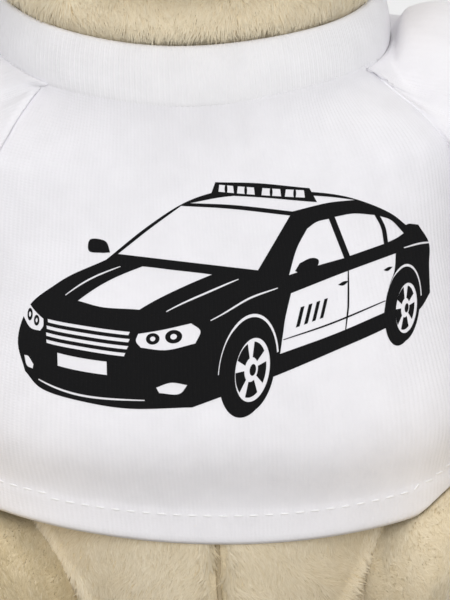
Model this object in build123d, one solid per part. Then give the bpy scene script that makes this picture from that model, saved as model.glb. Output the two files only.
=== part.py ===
from build123d import *
from math import acos, asin, cos, radians, sin, sqrt
import os

# A small plush bear that sits on the floor in a raglan T-shirt, in millimetres.
# +Z is up, the bear faces -Y and its own left side is +X. The origin is the middle of its flat seat.
# Stuffed pieces are closed solids. The shirt is an open shell round them, cut at neck, armholes and hem.
# Left-hand pieces are built on the +X side and mirrored for the right.

# ---- clearances and cloth ----
RUN = 0.3            # gap between soft pieces that turn past each other
SEAM = 0.1           # gap between sewn pieces that move together
JERSEY = 1.2         # shirt wall, cloth and its small slack
RIB = 1.7            # neckband wall, the ribbing lies double
PATCH = 0.9          # velour of the paw and sole pads

# ---- trunk ----
SEAT_HALF_WIDTH = 27
SEAT_HALF_DEPTH = 29
TRUNK_TOP = 120.7    # flat top of the trunk, under the head's neck
NECK_RADIUS = 32.7
NECK_TAPER = 0.5     # the trunk's top is this much slimmer than the neck that turns on it
# Ellipses of the trunk and of the shirt round it: height, half width, half depth, slack of the shirt.
TRUNK_ROWS = [
    (9, 35.0, 34.0, None),
    (24, 41.0, 37.0, 6.0),
    (44, 44.0, 38.5, 4.0),
    (64, 44.5, 37.5, 3.0),
    (86, 42.5, 35.0, 2.0),
    (104, 38.5, 33.0, 1.4),
]

# ---- head ----
NECK_TOP = 136       # where the round neck ends and the cheeks begin
HEAD_RADIUS = 47     # the head is round seen from above
HEAD_MIDDLE = 163    # height of its widest ring
HEAD_TOP = 204
MUZZLE_HALF = (21.5, 19, 16.5)   # half width, half depth, half height
MUZZLE_REACH = 13    # how far the muzzle stands out from the head's widest ring
MUZZLE_HEIGHT = 150
NOSE_HALF = (8.5, 4.5, 5.5)
NOSE_RISE = 8        # nose above the muzzle's middle
EYE_RADIUS = 4.3
EYE_SPREAD = 17.5    # eye to the middle line
EYE_HEIGHT = 169
EYE_SINK = 1.4       # the eye's ball centre lies this deep in the plush
EAR_RADIUS = 17
EAR_THICKNESS = 11
EAR_SPREAD = 35.5
EAR_HEIGHT = 196.5
EAR_BACK = 4         # ear behind the head's axis
EAR_TURN = 14        # degrees, each ear faces slightly outward

# ---- neckband ----
BAND_HEIGHT = 10.5
BAND_EASE = 0.4      # gap round the neck at the band's top edge
BAND_FLARE = 3.2     # the band is this much wider at its foot, over BAND_FLARE_DROP
BAND_FLARE_DROP = 25
BAND_TOP = 129.5     # height of the band's top plane on the axis
BAND_TILT = 9        # degrees, the band's planes dip towards the front

# ---- hem ----
HEM_FRONT = 36.5     # height of the hem at the middle
HEM_SIDE = 48.5      # and at HEM_SIDE_REACH to each side, over the thighs
HEM_SIDE_REACH = 48
HEM_PAST = 20        # the hem runs on level this far past HEM_SIDE_REACH, clear of the shirt

# ---- arms and sleeves ----
SHOULDER_OUT = 10    # shoulder centre outside the trunk's shoulder row
SHOULDER_Y = -2
SHOULDER_HEIGHT = 105
ARM_FORWARD = 22     # degrees, arm swung forward from straight sideways
ARM_DROOP = 24       # degrees below level at rest
ARM_RAISE = 65       # degrees up from rest
ARM_LOWER = 24       # degrees down from rest
ARM_ROOT_RADIUS = 16
ARM_TIP_RADIUS = 14
ARM_LENGTH = 44      # shoulder centre to the centre of the rounded paw
ARM_CAP_BACK = 7.5   # the root is full size behind this, and slimmer under the sleeve
SLEEVE_BACK = 6      # the sleeve's armhole edge, behind the shoulder centre
SLEEVE_LENGTH = 31   # shoulder centre to cuff
CUFF_RADIUS = 16.6   # inside of the cuff
PAW_PAD_RADIUS = 9
PALM_LOOK = (0.35, -0.75, -0.55)  # the way the left palm faces, down and forward

# ---- legs ----
HIP_X = 41.5
HIP_Y = -10
THIGH_RADIUS = 22.5  # the thigh lies on the floor, so this is the hip's height too
LEG_SPLAY = 20       # degrees, each leg turned outward
LEG_DROP = 60        # degrees down from lying on the floor
DROP_STEP = 15       # degrees between the places where the trunk is cleared for the leg
ANKLE_AT = 37        # hip to ankle
ANKLE_RADIUS = 18.5
FOOT_AT = 57         # hip to the foot's widest section
FOOT_HALF_WIDTH = 20
FOOT_HALF_HEIGHT = 25
TOE_AT = 69          # hip to the flat sole
TOE_HALF_WIDTH = 17.5
TOE_HALF_HEIGHT = 22
SOLE_MARGIN = 2.5    # sole pad inside the edge of the flat toe face
SWING_REACH = 95     # longer than a limb, for the space it swings through
BLOCK = 400          # larger than the bear, for what is cut away

# ---- tail ----
TAIL_RADIUS = 12
TAIL_HEIGHT = 23


# ---------------------------------------------------------------- helpers

def ellipse_at(height, half_width, half_depth):
    """A level ellipse at a height."""
    return Plane.XY.offset(height) * Ellipse(half_width, half_depth)


def ball(radius, place):
    return Pos(*place) * Sphere(radius)


def egg(half, place):
    """An ellipsoid with three half sizes."""
    return Pos(*place) * scale(Sphere(1), by=half)


def spun(face, plane):
    """A face drawn in the plane, with x along its axis, turned round that axis."""
    return revolve(plane * face, Axis(plane.origin, plane.x_dir), 360)


def capsule_face(root_radius, tip_radius, length):
    """Half outline of two balls and the cone that touches both, above the x axis."""
    lean = asin((root_radius - tip_radius) / length)
    root_touch = (root_radius * sin(lean), root_radius * cos(lean))
    tip_touch = (length + tip_radius * sin(lean), tip_radius * cos(lean))
    root_mid = radians(90 + 45)
    tip_mid = (radians(90) - lean) / 2
    lines = [
        ThreePointArc((-root_radius, 0), (root_radius * cos(root_mid), root_radius * sin(root_mid)), root_touch),
        Line(root_touch, tip_touch),
        ThreePointArc(tip_touch, (length + tip_radius * cos(tip_mid), tip_radius * sin(tip_mid)),
                      (length + tip_radius, 0)),
        Line((length + tip_radius, 0), (-root_radius, 0)),
    ]
    return make_face(lines)


def tilted_plane(height):
    """A plane that dips to the front, crossing the axis at a height."""
    return Plane(origin=(0, 0, height), x_dir=(1, 0, 0), z_dir=(0, -sin(radians(BAND_TILT)), cos(radians(BAND_TILT))))


def above(plane):
    """A block that fills the space over a plane."""
    return plane * Pos(0, 0, BLOCK / 2) * Box(BLOCK, BLOCK, BLOCK)


def below(plane):
    """A block that fills the space under a plane."""
    return plane * Pos(0, 0, -BLOCK / 2) * Box(BLOCK, BLOCK, BLOCK)


# ---------------------------------------------------------------- places worked out from the sizes

shoulder_row = TRUNK_ROWS[-1]
shoulder = Vector(shoulder_row[1] + SHOULDER_OUT, SHOULDER_Y, SHOULDER_HEIGHT)
arm_out = Vector(cos(radians(ARM_FORWARD)), -sin(radians(ARM_FORWARD)), 0)
arm_axis = Vector(sin(radians(ARM_FORWARD)), cos(radians(ARM_FORWARD)), 0)
arm_along = arm_out * cos(radians(ARM_DROOP)) - Vector(0, 0, 1) * sin(radians(ARM_DROOP))
arm_plane = Plane(origin=shoulder, x_dir=arm_along, z_dir=arm_axis)
sleeve_root = ARM_ROOT_RADIUS + RUN
socket_radius = sleeve_root + JERSEY + RUN

hip = Vector(HIP_X, HIP_Y, THIGH_RADIUS)
leg_along = Vector(sin(radians(LEG_SPLAY)), -cos(radians(LEG_SPLAY)), 0)
hip_axis = Vector(cos(radians(LEG_SPLAY)), sin(radians(LEG_SPLAY)), 0)
leg_plane = Plane(origin=hip, x_dir=hip_axis, z_dir=leg_along)

band_foot = BAND_TOP - BAND_HEIGHT / cos(radians(BAND_TILT))
collar_row = (BAND_TOP, NECK_RADIUS, NECK_RADIUS, BAND_EASE + RUN)
crown_rise = HEAD_TOP - HEAD_MIDDLE
muzzle_middle = (0, -(HEAD_RADIUS + MUZZLE_REACH - MUZZLE_HALF[1]), MUZZLE_HEIGHT)


# ---------------------------------------------------------------- trunk and shirt shells

def trunk_form():
    """The trunk before anything is let into it."""
    rows = [ellipse_at(0, SEAT_HALF_WIDTH, SEAT_HALF_DEPTH)]
    rows += [ellipse_at(height, width, depth) for height, width, depth, slack in TRUNK_ROWS]
    rows += [ellipse_at(TRUNK_TOP, NECK_RADIUS - NECK_TAPER, NECK_RADIUS - NECK_TAPER)]
    return loft(rows)


def shirt_form(grow):
    """The shirt's inside, or with the cloth's thickness as grow its outside."""
    rows = [row for row in TRUNK_ROWS if row[3] is not None] + [collar_row]
    return loft([ellipse_at(height, width + slack + grow, depth + slack + grow)
                 for height, width, depth, slack in rows])


def arm_socket():
    """What the shoulder and its sleeve clear, at rest and with the arm hanging at its lowest."""
    space = ball(socket_radius, shoulder)
    for lower in (0, ARM_LOWER):
        swung = arm_along.rotate(Axis(shoulder, arm_axis), lower)
        space = space + Plane(origin=shoulder, z_dir=swung) * Pos(0, 0, SWING_REACH / 2) * Cylinder(
            socket_radius, SWING_REACH)
    return space


def leg_socket():
    """What the thigh clears, from lying forward to its lowest."""
    gap = THIGH_RADIUS + RUN
    space = ball(gap, hip)
    for drop in range(0, LEG_DROP + 1, DROP_STEP):
        along = leg_along.rotate(Axis(hip, hip_axis), drop)
        space = space + Plane(origin=hip, z_dir=along) * Pos(0, 0, SWING_REACH / 2) * Cylinder(gap, SWING_REACH)
    return space


def make_body():
    trunk = trunk_form()
    for socket in (arm_socket(), leg_socket()):
        trunk = trunk - socket - mirror(socket, Plane.YZ)
    return trunk


def hem_cutter():
    """Everything below the hem's curve, front to back."""
    curve = ThreePointArc((-HEM_SIDE_REACH, HEM_SIDE), (0, HEM_FRONT), (HEM_SIDE_REACH, HEM_SIDE))
    edge = HEM_SIDE_REACH + HEM_PAST
    frame = Polyline(curve @ 1, (edge, HEM_SIDE), (edge, -HEM_PAST), (-edge, -HEM_PAST), (-edge, HEM_SIDE), curve @ 0)
    face = make_face([curve, *frame.edges()])
    return extrude(Plane.XZ * face, BLOCK / 2, both=True)


def make_shirt():
    """The shirt's body, parted at the side seams into a front and a back."""
    shell = shirt_form(JERSEY) - shirt_form(0)
    shell = shell - hem_cutter() - above(tilted_plane(band_foot))
    socket = arm_socket()
    shell = shell - socket - mirror(socket, Plane.YZ)
    side_seams = Plane(origin=(0, SHOULDER_Y, 0), x_dir=(1, 0, 0), z_dir=(0, -1, 0))
    return shell - below(side_seams), shell - above(side_seams)


def make_neckband():
    """A folded rib ring, wider at its foot, between two planes that dip to the front."""
    top_radius = NECK_RADIUS + BAND_EASE
    foot_radius = top_radius + BAND_FLARE
    high, low = BAND_TOP + BAND_HEIGHT, BAND_TOP - BAND_FLARE_DROP
    strip = Polyline((top_radius, high), (top_radius, BAND_TOP), (foot_radius, low), (foot_radius + RIB, low),
                     (top_radius + RIB, BAND_TOP), (top_radius + RIB, high), close=True)
    ring = revolve(Plane.XZ * make_face(strip), Axis.Z, 360)
    return ring - above(tilted_plane(BAND_TOP)) - below(tilted_plane(band_foot))


# ---------------------------------------------------------------- head

def make_head():
    """Neck, cheeks and crown, turned round the neck's axis."""
    rim = (HEAD_RADIUS, HEAD_MIDDLE)
    cheek = TangentArc(rim, (NECK_RADIUS, NECK_TOP), tangent=(0, -1))
    crown = Spline(rim, (HEAD_RADIUS * sqrt(0.5), HEAD_MIDDLE + crown_rise * sqrt(0.5)), (0, HEAD_TOP),
                   tangents=[(0, 1), (-1, 0)])
    neck_foot = TRUNK_TOP + RUN
    base = Polyline((0, HEAD_TOP), (0, neck_foot), (NECK_RADIUS, neck_foot), (NECK_RADIUS, NECK_TOP))
    return revolve(Plane.XZ * make_face([cheek, crown, *base.edges()]), Axis.Z, 360)


def crown_front(height, spread):
    """How far forward the head's crown lies at a height and a distance from the middle line."""
    ring = HEAD_RADIUS * sqrt(1 - ((height - HEAD_MIDDLE) / crown_rise) ** 2)
    return sqrt(ring ** 2 - spread ** 2)


def make_ear():
    disc = Cylinder(EAR_RADIUS, EAR_THICKNESS)
    disc = fillet(disc.edges().filter_by(GeomType.CIRCLE), EAR_THICKNESS * 0.45)
    dish = Pos(0, 0, EAR_THICKNESS / 2 + EAR_RADIUS - 2.2) * Sphere(EAR_RADIUS)
    disc = disc - dish
    return Pos(EAR_SPREAD, EAR_BACK, EAR_HEIGHT) * Rot(0, 0, EAR_TURN) * Rot(90, 0, 0) * disc


# ---------------------------------------------------------------- limbs

def make_arm():
    """A tapered arm with a fuller root that turns in the shoulder's socket."""
    arm = spun(capsule_face(ARM_ROOT_RADIUS, ARM_TIP_RADIUS, ARM_LENGTH), arm_plane)
    cap_radius = socket_radius - RUN
    edge = sqrt(cap_radius ** 2 - ARM_CAP_BACK ** 2)
    turn = (radians(180) + acos(-ARM_CAP_BACK / cap_radius)) / 2
    outline = [
        ThreePointArc((-cap_radius, 0), (cap_radius * cos(turn), cap_radius * sin(turn)), (-ARM_CAP_BACK, edge)),
        Polyline((-ARM_CAP_BACK, edge), (-ARM_CAP_BACK, 0), (-cap_radius, 0)),
    ]
    return arm + spun(make_face(outline), arm_plane)


def make_sleeve():
    """An open tube round the upper arm, from the armhole's round edge to the cuff."""
    def rim(radius):
        return (-SLEEVE_BACK, sqrt(radius ** 2 - SLEEVE_BACK ** 2))
    inner, outer = sleeve_root, sleeve_root + JERSEY
    cuff_in, cuff_out = CUFF_RADIUS, CUFF_RADIUS + JERSEY
    lines = [
        ThreePointArc(rim(inner), (-SLEEVE_BACK / 2, sqrt(inner ** 2 - SLEEVE_BACK ** 2 / 4)), (0, inner)),
        Line((0, inner), (SLEEVE_LENGTH, cuff_in)),
        Line((SLEEVE_LENGTH, cuff_in), (SLEEVE_LENGTH, cuff_out)),
        Line((SLEEVE_LENGTH, cuff_out), (0, outer)),
        ThreePointArc((0, outer), (-SLEEVE_BACK / 2, sqrt(outer ** 2 - SLEEVE_BACK ** 2 / 4)), rim(outer)),
        Line(rim(outer), rim(inner)),
    ]
    return spun(make_face(lines), arm_plane)


def make_paw_pad():
    """A round patch on the palm, which faces down and forward."""
    lower = spun(capsule_face(ARM_ROOT_RADIUS + SEAM, ARM_TIP_RADIUS + SEAM, ARM_LENGTH), arm_plane)
    upper = spun(capsule_face(ARM_ROOT_RADIUS + SEAM + PATCH, ARM_TIP_RADIUS + SEAM + PATCH, ARM_LENGTH), arm_plane)
    palm = shoulder + arm_along * ARM_LENGTH
    punch = Plane(origin=palm, z_dir=Vector(PALM_LOOK)) * Pos(0, 0, ARM_TIP_RADIUS) * Cylinder(
        PAW_PAD_RADIUS, 2 * ARM_TIP_RADIUS)
    return (upper & punch) - lower


def make_leg():
    """Round thigh, ankle and upright foot with a flat sole, lofted along the leg."""
    def section(along, half_width, half_height):
        centre = hip + leg_along * along
        centre = Vector(centre.X, centre.Y, half_height)
        return Plane(origin=centre, x_dir=hip_axis, z_dir=leg_along) * Ellipse(half_width, half_height)
    sections = [
        section(0, THIGH_RADIUS, THIGH_RADIUS),
        section(ANKLE_AT, ANKLE_RADIUS, ANKLE_RADIUS),
        section(FOOT_AT, FOOT_HALF_WIDTH, FOOT_HALF_HEIGHT),
        section(TOE_AT, TOE_HALF_WIDTH, TOE_HALF_HEIGHT),
    ]
    return loft(sections) + ball(THIGH_RADIUS, hip)


def make_sole():
    centre = hip + leg_along * (TOE_AT + SEAM)
    centre = Vector(centre.X, centre.Y, TOE_HALF_HEIGHT)
    face = Plane(origin=centre, x_dir=hip_axis, z_dir=leg_along) * Ellipse(
        TOE_HALF_WIDTH - SOLE_MARGIN, TOE_HALF_HEIGHT - SOLE_MARGIN)
    return extrude(face, PATCH, dir=leg_along)


# ---------------------------------------------------------------- build and write

def build():
    """Every piece by its node's name."""
    head = make_head()
    body = make_body()
    shirt_front, shirt_back = make_shirt()
    eye_place = (EYE_SPREAD, -crown_front(EYE_HEIGHT, EYE_SPREAD) + EYE_SINK, EYE_HEIGHT)
    muzzle = egg(MUZZLE_HALF, muzzle_middle) - head
    nose_place = (0, muzzle_middle[1] - MUZZLE_HALF[1] * sqrt(1 - (NOSE_RISE / MUZZLE_HALF[2]) ** 2) + 0.5,
                  MUZZLE_HEIGHT + NOSE_RISE)
    tail_place = (0, SEAT_HALF_DEPTH + TAIL_RADIUS * 0.9, TAIL_HEIGHT)
    pieces = {
        "body": body,
        "tail": ball(TAIL_RADIUS, tail_place) - body,
        "shirt_front": shirt_front,
        "shirt_back": shirt_back,
        "neckband": make_neckband(),
        "head": head,
        "muzzle": muzzle,
        "nose": egg(NOSE_HALF, nose_place) - muzzle - head,
    }
    pairs = {
        "eye": ball(EYE_RADIUS, eye_place) - head,
        "ear": make_ear() - head,
        "arm": make_arm(),
        "sleeve": make_sleeve(),
        "paw_pad": make_paw_pad(),
        "leg": make_leg(),
        "sole": make_sole(),
    }
    for name, shape in pairs.items():
        pieces[name + "_left"] = shape
        pieces[name + "_right"] = mirror(shape, Plane.YZ)
    return pieces


def write(pieces):
    os.makedirs("parts", exist_ok=True)
    for name, shape in pieces.items():
        solids = shape.solids()
        whole = solids[0] if len(solids) == 1 else Compound(children=list(solids))
        export_step(whole, f"parts/{name}.step")


if __name__ == "__main__":
    write(build())
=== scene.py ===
"""A seated plush bear in a printed T-shirt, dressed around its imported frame. Its sizes are in millimetres."""
import logging
import math
from dataclasses import dataclass, replace
from enum import Enum
from typing import Callable, Optional, Sequence

import bpy
import numpy as np
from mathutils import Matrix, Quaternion, Vector
from mathutils.geometry import delaunay_2d_cdt


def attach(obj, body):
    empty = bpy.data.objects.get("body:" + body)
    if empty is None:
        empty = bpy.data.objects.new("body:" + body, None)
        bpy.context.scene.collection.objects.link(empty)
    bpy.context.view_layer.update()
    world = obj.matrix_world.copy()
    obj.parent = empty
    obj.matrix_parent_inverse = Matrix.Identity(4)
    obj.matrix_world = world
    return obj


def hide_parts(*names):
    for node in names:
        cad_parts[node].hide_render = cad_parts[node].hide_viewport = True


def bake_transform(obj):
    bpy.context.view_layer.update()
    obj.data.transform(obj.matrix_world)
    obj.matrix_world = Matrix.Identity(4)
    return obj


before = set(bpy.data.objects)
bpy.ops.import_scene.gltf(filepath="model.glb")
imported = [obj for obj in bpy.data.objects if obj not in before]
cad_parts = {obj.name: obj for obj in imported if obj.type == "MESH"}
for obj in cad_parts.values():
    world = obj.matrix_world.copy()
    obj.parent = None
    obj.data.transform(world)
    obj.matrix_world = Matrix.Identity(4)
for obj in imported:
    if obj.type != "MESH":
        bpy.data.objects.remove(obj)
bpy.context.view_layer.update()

Array = np.ndarray
Field = Callable[[Array], Array]  # a number or a direction for each place
Share = Callable[[Array, Array], Array]  # how much pile grows at each place, with its normal
Places = Callable[..., Array]  # turns flat coordinates into places on the printed car
MM = 0.001
UP = np.array([0.0, 0.0, 1.0])
LOG = logging.getLogger("bear")
MAP_NAME = "OFBake"  # the pieces' own map, on which colours can be baked
MOST_TUFTS = 48000  # tufts in one piece, four faces each


class Side(Enum):
    """The bear's own left lies at +X."""

    LEFT = 1
    RIGHT = -1

    @property
    def word(self) -> str:
        """The side's name as the frame's nodes and bodies have it."""
        return self.name.lower()

    def place(self, x: float, y: float, z: float) -> Array:
        """A point or direction given for the left side, on this side."""
        return np.array([self.value * x, y, z], float)


# ---- numbers on whole arrays


def unit(vectors: Array) -> Array:
    """Vectors scaled to length one."""
    return vectors / np.maximum(np.linalg.norm(vectors, axis=-1, keepdims=True), 1e-12)


def split(points: Array) -> Array:
    """Points as three arrays, one for each coordinate."""
    return np.moveaxis(points, -1, 0)


def joined(*coordinates: Array) -> Array:
    """Points from their coordinates."""
    return np.stack(np.broadcast_arrays(*coordinates), -1)


def away(points: Array, place: Sequence[float]) -> Array:
    """Distances from a place."""
    return np.linalg.norm(points - place, axis=-1)


def turns(count: int) -> Array:
    """Even angles once round, without the last, which is the first again."""
    return np.arange(count) / count * 2 * np.pi


def hill(distance: Array, width: float) -> Array:
    """A bell: one at no distance, falling off as e to the minus square of distance over width."""
    return np.exp(-((distance / width) ** 2))


def step(at: Array, low: float, high: float) -> Array:
    """Nought below low, one above high, and a smooth cubic between."""
    t = np.clip((at - low) / (high - low), 0, 1)
    return t * t * (3 - 2 * t)


def band(at: Array, rise: tuple[float, float], fall: tuple[float, float]) -> Array:
    """One between two smooth steps, up over the first stretch and down over the second."""
    return step(at, *rise) * (1 - step(at, *fall))


def power(value: Array, exponent: float) -> Array:
    """A power that keeps the sign."""
    return np.sign(value) * np.abs(value) ** exponent


def quarter(beyond: Array, radius: float) -> Array:
    """What share of its radius a round end has left: a quarter circle over the way beyond its start."""
    return np.sqrt(np.clip(1 - (np.clip(beyond, 0, None) / radius) ** 2, 0, 1))


def through(at: Array, knots: Sequence[float], values: Sequence[float]) -> Array:
    """A smooth curve through given values: cubic Hermite pieces with slopes from the neighbours.

    Args:
        at: where to read the curve, which is level past both ends.
        knots: increasing places.
        values: the curve's values there.

    Returns:
        The curve's value at each place.
    """
    x, y = np.asarray(knots, float), np.asarray(values, float)
    slope = np.gradient(y, x)
    at = np.clip(at, x[0], x[-1])
    i = np.clip(np.searchsorted(x, at, side="right") - 1, 0, len(x) - 2)
    width = x[i + 1] - x[i]
    t = (at - x[i]) / width
    start = y[i] * (1 + 2 * t) * (1 - t) ** 2 + slope[i] * width * t * (1 - t) ** 2
    return start + y[i + 1] * t**2 * (3 - 2 * t) - slope[i + 1] * width * t**2 * (1 - t)


def eased(count: int, *columns: Sequence[float]) -> list[Array]:
    """Each list of values as a smooth curve, read at even steps from its first value to its last."""
    knots = np.arange(len(columns[0]))
    return [through(np.linspace(0, knots[-1], count), knots, values) for values in columns]


def smoothed(points: Array, count: int) -> Array:
    """A smooth curve through points, read at even steps of the length of their chords."""
    length = np.concatenate([[0], np.cumsum(np.linalg.norm(np.diff(points, axis=0), axis=1))])
    return np.stack([through(np.linspace(0, length[-1], count), length, v) for v in points.T], 1)


def noise(points: Array, size: float, seed: int) -> Array:
    """Smooth noise from minus one to one: random values on a cubic lattice, blended by their smoothed shares.

    Args:
        points: places, three numbers each.
        size: the lattice's spacing.
        seed: which noise.

    Returns:
        One value for each place.
    """
    scaled = points / size
    cell = np.floor(scaled).astype(np.int64)
    f = scaled - cell
    f = f * f * (3 - 2 * f)
    total = np.zeros(points.shape[:-1])
    for corner in np.ndindex(2, 2, 2):
        x, y, z = (cell[..., k] + corner[k] for k in range(3))
        mixed = (x * 73856093) ^ (y * 19349663) ^ (z * 83492791) ^ (seed * 2654435761)
        mixed = ((mixed ^ (mixed >> 13)) * 1274126177) & 0x7FFFFFFF
        mixed = ((mixed ^ (mixed >> 15)) * 668265263) & 0x7FFFFFFF
        share = np.prod([f[..., k] if corner[k] else 1 - f[..., k] for k in range(3)], axis=0)
        total += share * (mixed / 0x3FFFFFFF - 1)
    return total


def rough_noise(points: Array, size: float, seed: int) -> Array:
    """Three octaves of noise, each half as large and as strong as the one before."""
    return sum(noise(points, size / 2**k, seed + k) / 2**k for k in range(3)) / 1.75


def evened(points: Array, axis: int, reach: int = 6) -> Array:
    """Each place's mean with a number of neighbours on either side, all the way round."""
    return sum(np.roll(points, k, axis) for k in range(-reach, reach + 1)) / (2 * reach + 1)


def held_off(points: Array, start: Array, end: Array, radii: tuple[float, float], soft: float) -> Array:
    """Points kept outside a rounded, tapered rod: each moves straight away from the rod's line to the
    softened larger of its own distance and the rod's radius there.

    Args:
        points: places to move.
        start: one end of the rod's line.
        end: its other end.
        radii: the rod's radius at its two ends.
        soft: over what distance the push eases in.

    Returns:
        The moved places.
    """
    line = end - start
    t = np.clip((points - start) @ line / (line @ line), 0, 1)
    near = start + t[..., None] * line
    out = points - near
    distance = np.linalg.norm(out, axis=-1)
    radius = radii[0] + (radii[1] - radii[0]) * t
    over = distance - radius
    pushed = radius + 0.5 * (over + np.sqrt(over**2 + soft**2))
    weight = step(over, 6 * soft, 2 * soft)
    return near + unit(out) * (pushed * weight + distance * (1 - weight))[..., None]


# ---- surfaces on grids


@dataclass
class Surface:
    """Rings of points, row after row. A pole closes an end, which is open otherwise."""

    points: Array  # rows, columns, 3
    first_pole: bool = True
    last_pole: bool = True
    ring: bool = False  # the rows come back to the first one, as the columns do
    outward: float = 0.0

    def __post_init__(self) -> None:
        """Finds which way the faces point, from the sum of each normal with its way out of the middle."""
        if not self.outward:
            self.outward = 1.0
            share = ((self.points - self.points.mean((0, 1))) * self.normals()).sum()
            self.outward = 1.0 if share >= 0 else -1.0

    def normals(self) -> Array:
        """Each point's normal: the cross product of its tangents along columns and rows, turned outwards."""
        p = self.points
        along = np.roll(p, -1, 1) - np.roll(p, 1, 1)
        across = np.roll(p, -1, 0) - np.roll(p, 1, 0) if self.ring else np.gradient(p, axis=0)
        normal = np.cross(along, across)
        if self.first_pole:
            normal[0] = normal[1].mean(0)
        if self.last_pole:
            normal[-1] = normal[-2].mean(0)
        return unit(normal) * self.outward

    def moved(self, points: Array) -> "Surface":
        """The same grid at other points."""
        return replace(self, points=points)

    def pushed(self, amount: Array) -> "Surface":
        """The surface with each point moved along its normal by its amount."""
        return self.moved(self.points + self.normals() * np.asarray(amount)[..., None])

    def read(self, values: Array, row: Array, column: Array) -> Array:
        """Values between the grid's points, each the mean of four corners by their shares.

        Args:
            values: one vector for each point of the grid.
            row: rows from nought to one.
            column: columns from nought to one, which comes round to nought.

        Returns:
            The vectors at those places.
        """
        rows, columns = values.shape[:2]
        r, c = np.clip(row, 0, 1) * (rows - 1), (column % 1) * columns
        i, j = np.minimum(r.astype(int), rows - 2), c.astype(int) % columns
        k = (j + 1) % columns
        fr, fc = (r - i)[..., None], (c - np.floor(c))[..., None]
        low = values[i, j] * (1 - fc) + values[i, k] * fc
        high = values[i + 1, j] * (1 - fc) + values[i + 1, k] * fc
        return low * (1 - fr) + high * fr

    def piece(self, name: str, finish: "Finish", keep: Optional[Array] = None) -> bpy.types.Object:
        """The mesh of four-sided faces between the grid's points, fans at the poles, and a map of the grid.

        Args:
            name: the piece's name.
            finish: what it is covered with.
            keep: which four-sided faces to make, by row and column, or None for all.

        Returns:
            The new object.
        """
        rows, columns = self.points.shape[:2]
        number = np.arange(rows * columns).reshape(rows, columns)
        points = self.points.reshape(-1, 3)
        spans = rows if self.ring else rows - 1
        low, high = 0, spans
        if self.first_pole:
            points = np.concatenate([points[:columns].mean(0)[None], points[columns:]])
            number, low = np.maximum(number - columns + 1, 0), 1
        if self.last_pole:
            points = np.concatenate([points[:-columns], points[-columns:].mean(0)[None]])
            number, high = np.minimum(number, number[-1, 0]), rows - 2
        i, j = np.meshgrid(np.arange(low, high), np.arange(columns), indexing="ij")
        kept = np.ones(i.shape, bool) if keep is None else keep[low:high]
        i, j = i[kept][:, None], j[kept][:, None]
        groups = [(np.hstack([i, i, i + 1, i + 1]), np.hstack([j, j + 1, j + 1, j]))]
        j = np.arange(columns)[:, None]
        first, last = 0 * j, 0 * j + rows - 1
        if self.first_pole:
            groups.append((np.hstack([first, first + 1, first + 1]), np.hstack([j, j + 1, j])))
        if self.last_pole:
            groups.append((np.hstack([last - 1, last - 1, last]), np.hstack([j, j + 1, j])))
        if self.outward < 0:
            groups = [(face_rows[:, ::-1], face_columns[:, ::-1]) for face_rows, face_columns in groups]
        faces = [number[i % rows, j % columns] for i, j in groups]
        maps = [np.stack([j / columns, i / spans], -1).reshape(-1, 2) for i, j in groups]
        return mesh_piece(name, points, faces, np.concatenate(maps), finish)

    def dress(self, name: str, finish: "Finish", body: str, node: str = "", fill: float = 0.0) -> None:
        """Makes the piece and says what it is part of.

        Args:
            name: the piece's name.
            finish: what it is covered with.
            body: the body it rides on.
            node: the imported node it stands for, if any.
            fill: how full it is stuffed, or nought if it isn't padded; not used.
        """
        made = self.piece(name, finish)
        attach(made, body)
        if node:
            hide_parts(node)


def mesh_piece(name: str, points: Array, faces: list[Array], uv: Array, finish: "Finish") -> bpy.types.Object:
    """Puts points and faces into a new smooth object.

    Args:
        name: the piece's name.
        points: vertices, three numbers each.
        faces: groups of faces with one number of sides each, as vertex numbers.
        uv: one pair for each corner of each face.
        finish: what the piece is covered with.

    Returns:
        The new object, linked to the scene.
    """
    mesh = bpy.data.meshes.new(name)
    sides = np.concatenate([np.full(len(group), group.shape[1], np.int32) for group in faces])
    corners = np.concatenate([group.ravel() for group in faces]).astype(np.int32)
    mesh.vertices.add(len(points))
    mesh.vertices.foreach_set("co", np.ascontiguousarray(points * MM, np.float32).ravel())
    mesh.loops.add(len(corners))
    mesh.loops.foreach_set("vertex_index", corners)
    mesh.polygons.add(len(sides))
    mesh.polygons.foreach_set("loop_start", (np.cumsum(sides) - sides).astype(np.int32))
    mesh.update(calc_edges=True)
    layer = mesh.uv_layers.new(name=MAP_NAME)
    layer.data.foreach_set("uv", np.ascontiguousarray(uv, np.float32).ravel())
    mesh.polygons.foreach_set("use_smooth", np.ones(len(sides), bool))
    mesh.materials.append(finish.material())
    made = bpy.data.objects.new(name, mesh)
    bpy.context.scene.collection.objects.link(made)
    return made


def rings(z: Array, wide: Array, deep: Array, columns: int, square: float = 2.0) -> Array:
    """Level rounded rings about the upright axis: at an angle from the front, x is the half width times the
    sine and y is minus the half depth times the cosine, each raised to two over the squareness, sign kept.

    Args:
        z: one height for each row.
        wide: its half width.
        deep: its half depth.
        columns: points round each ring, from the front towards the left side.
        square: two for an ellipse, more for fuller corners.

    Returns:
        The rings' points.
    """
    x = wide[:, None] * power(np.sin(turns(columns)), 2 / square)
    y = -deep[:, None] * power(np.cos(turns(columns)), 2 / square)
    return joined(x, y, z[:, None])


def carried(line: Array, first: Array, second: Array, wide: Array, high: Array, columns: int) -> Array:
    """A tube along a line: each ring is its centre plus the cosine times one axis and the sine times another.

    Args:
        line: the rings' centres.
        first: one axis for all rings, or one each.
        second: the other axis.
        wide: each ring's radius on the first axis.
        high: its radius on the second.
        columns: points round each ring.

    Returns:
        The rings' points.
    """
    first, second = (np.broadcast_to(axis, line.shape)[:, None, :] for axis in (first, second))
    flat = first * (wide[:, None] * np.cos(turns(columns)))[..., None]
    return line[:, None, :] + flat + second * (high[:, None] * np.sin(turns(columns)))[..., None]


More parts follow.
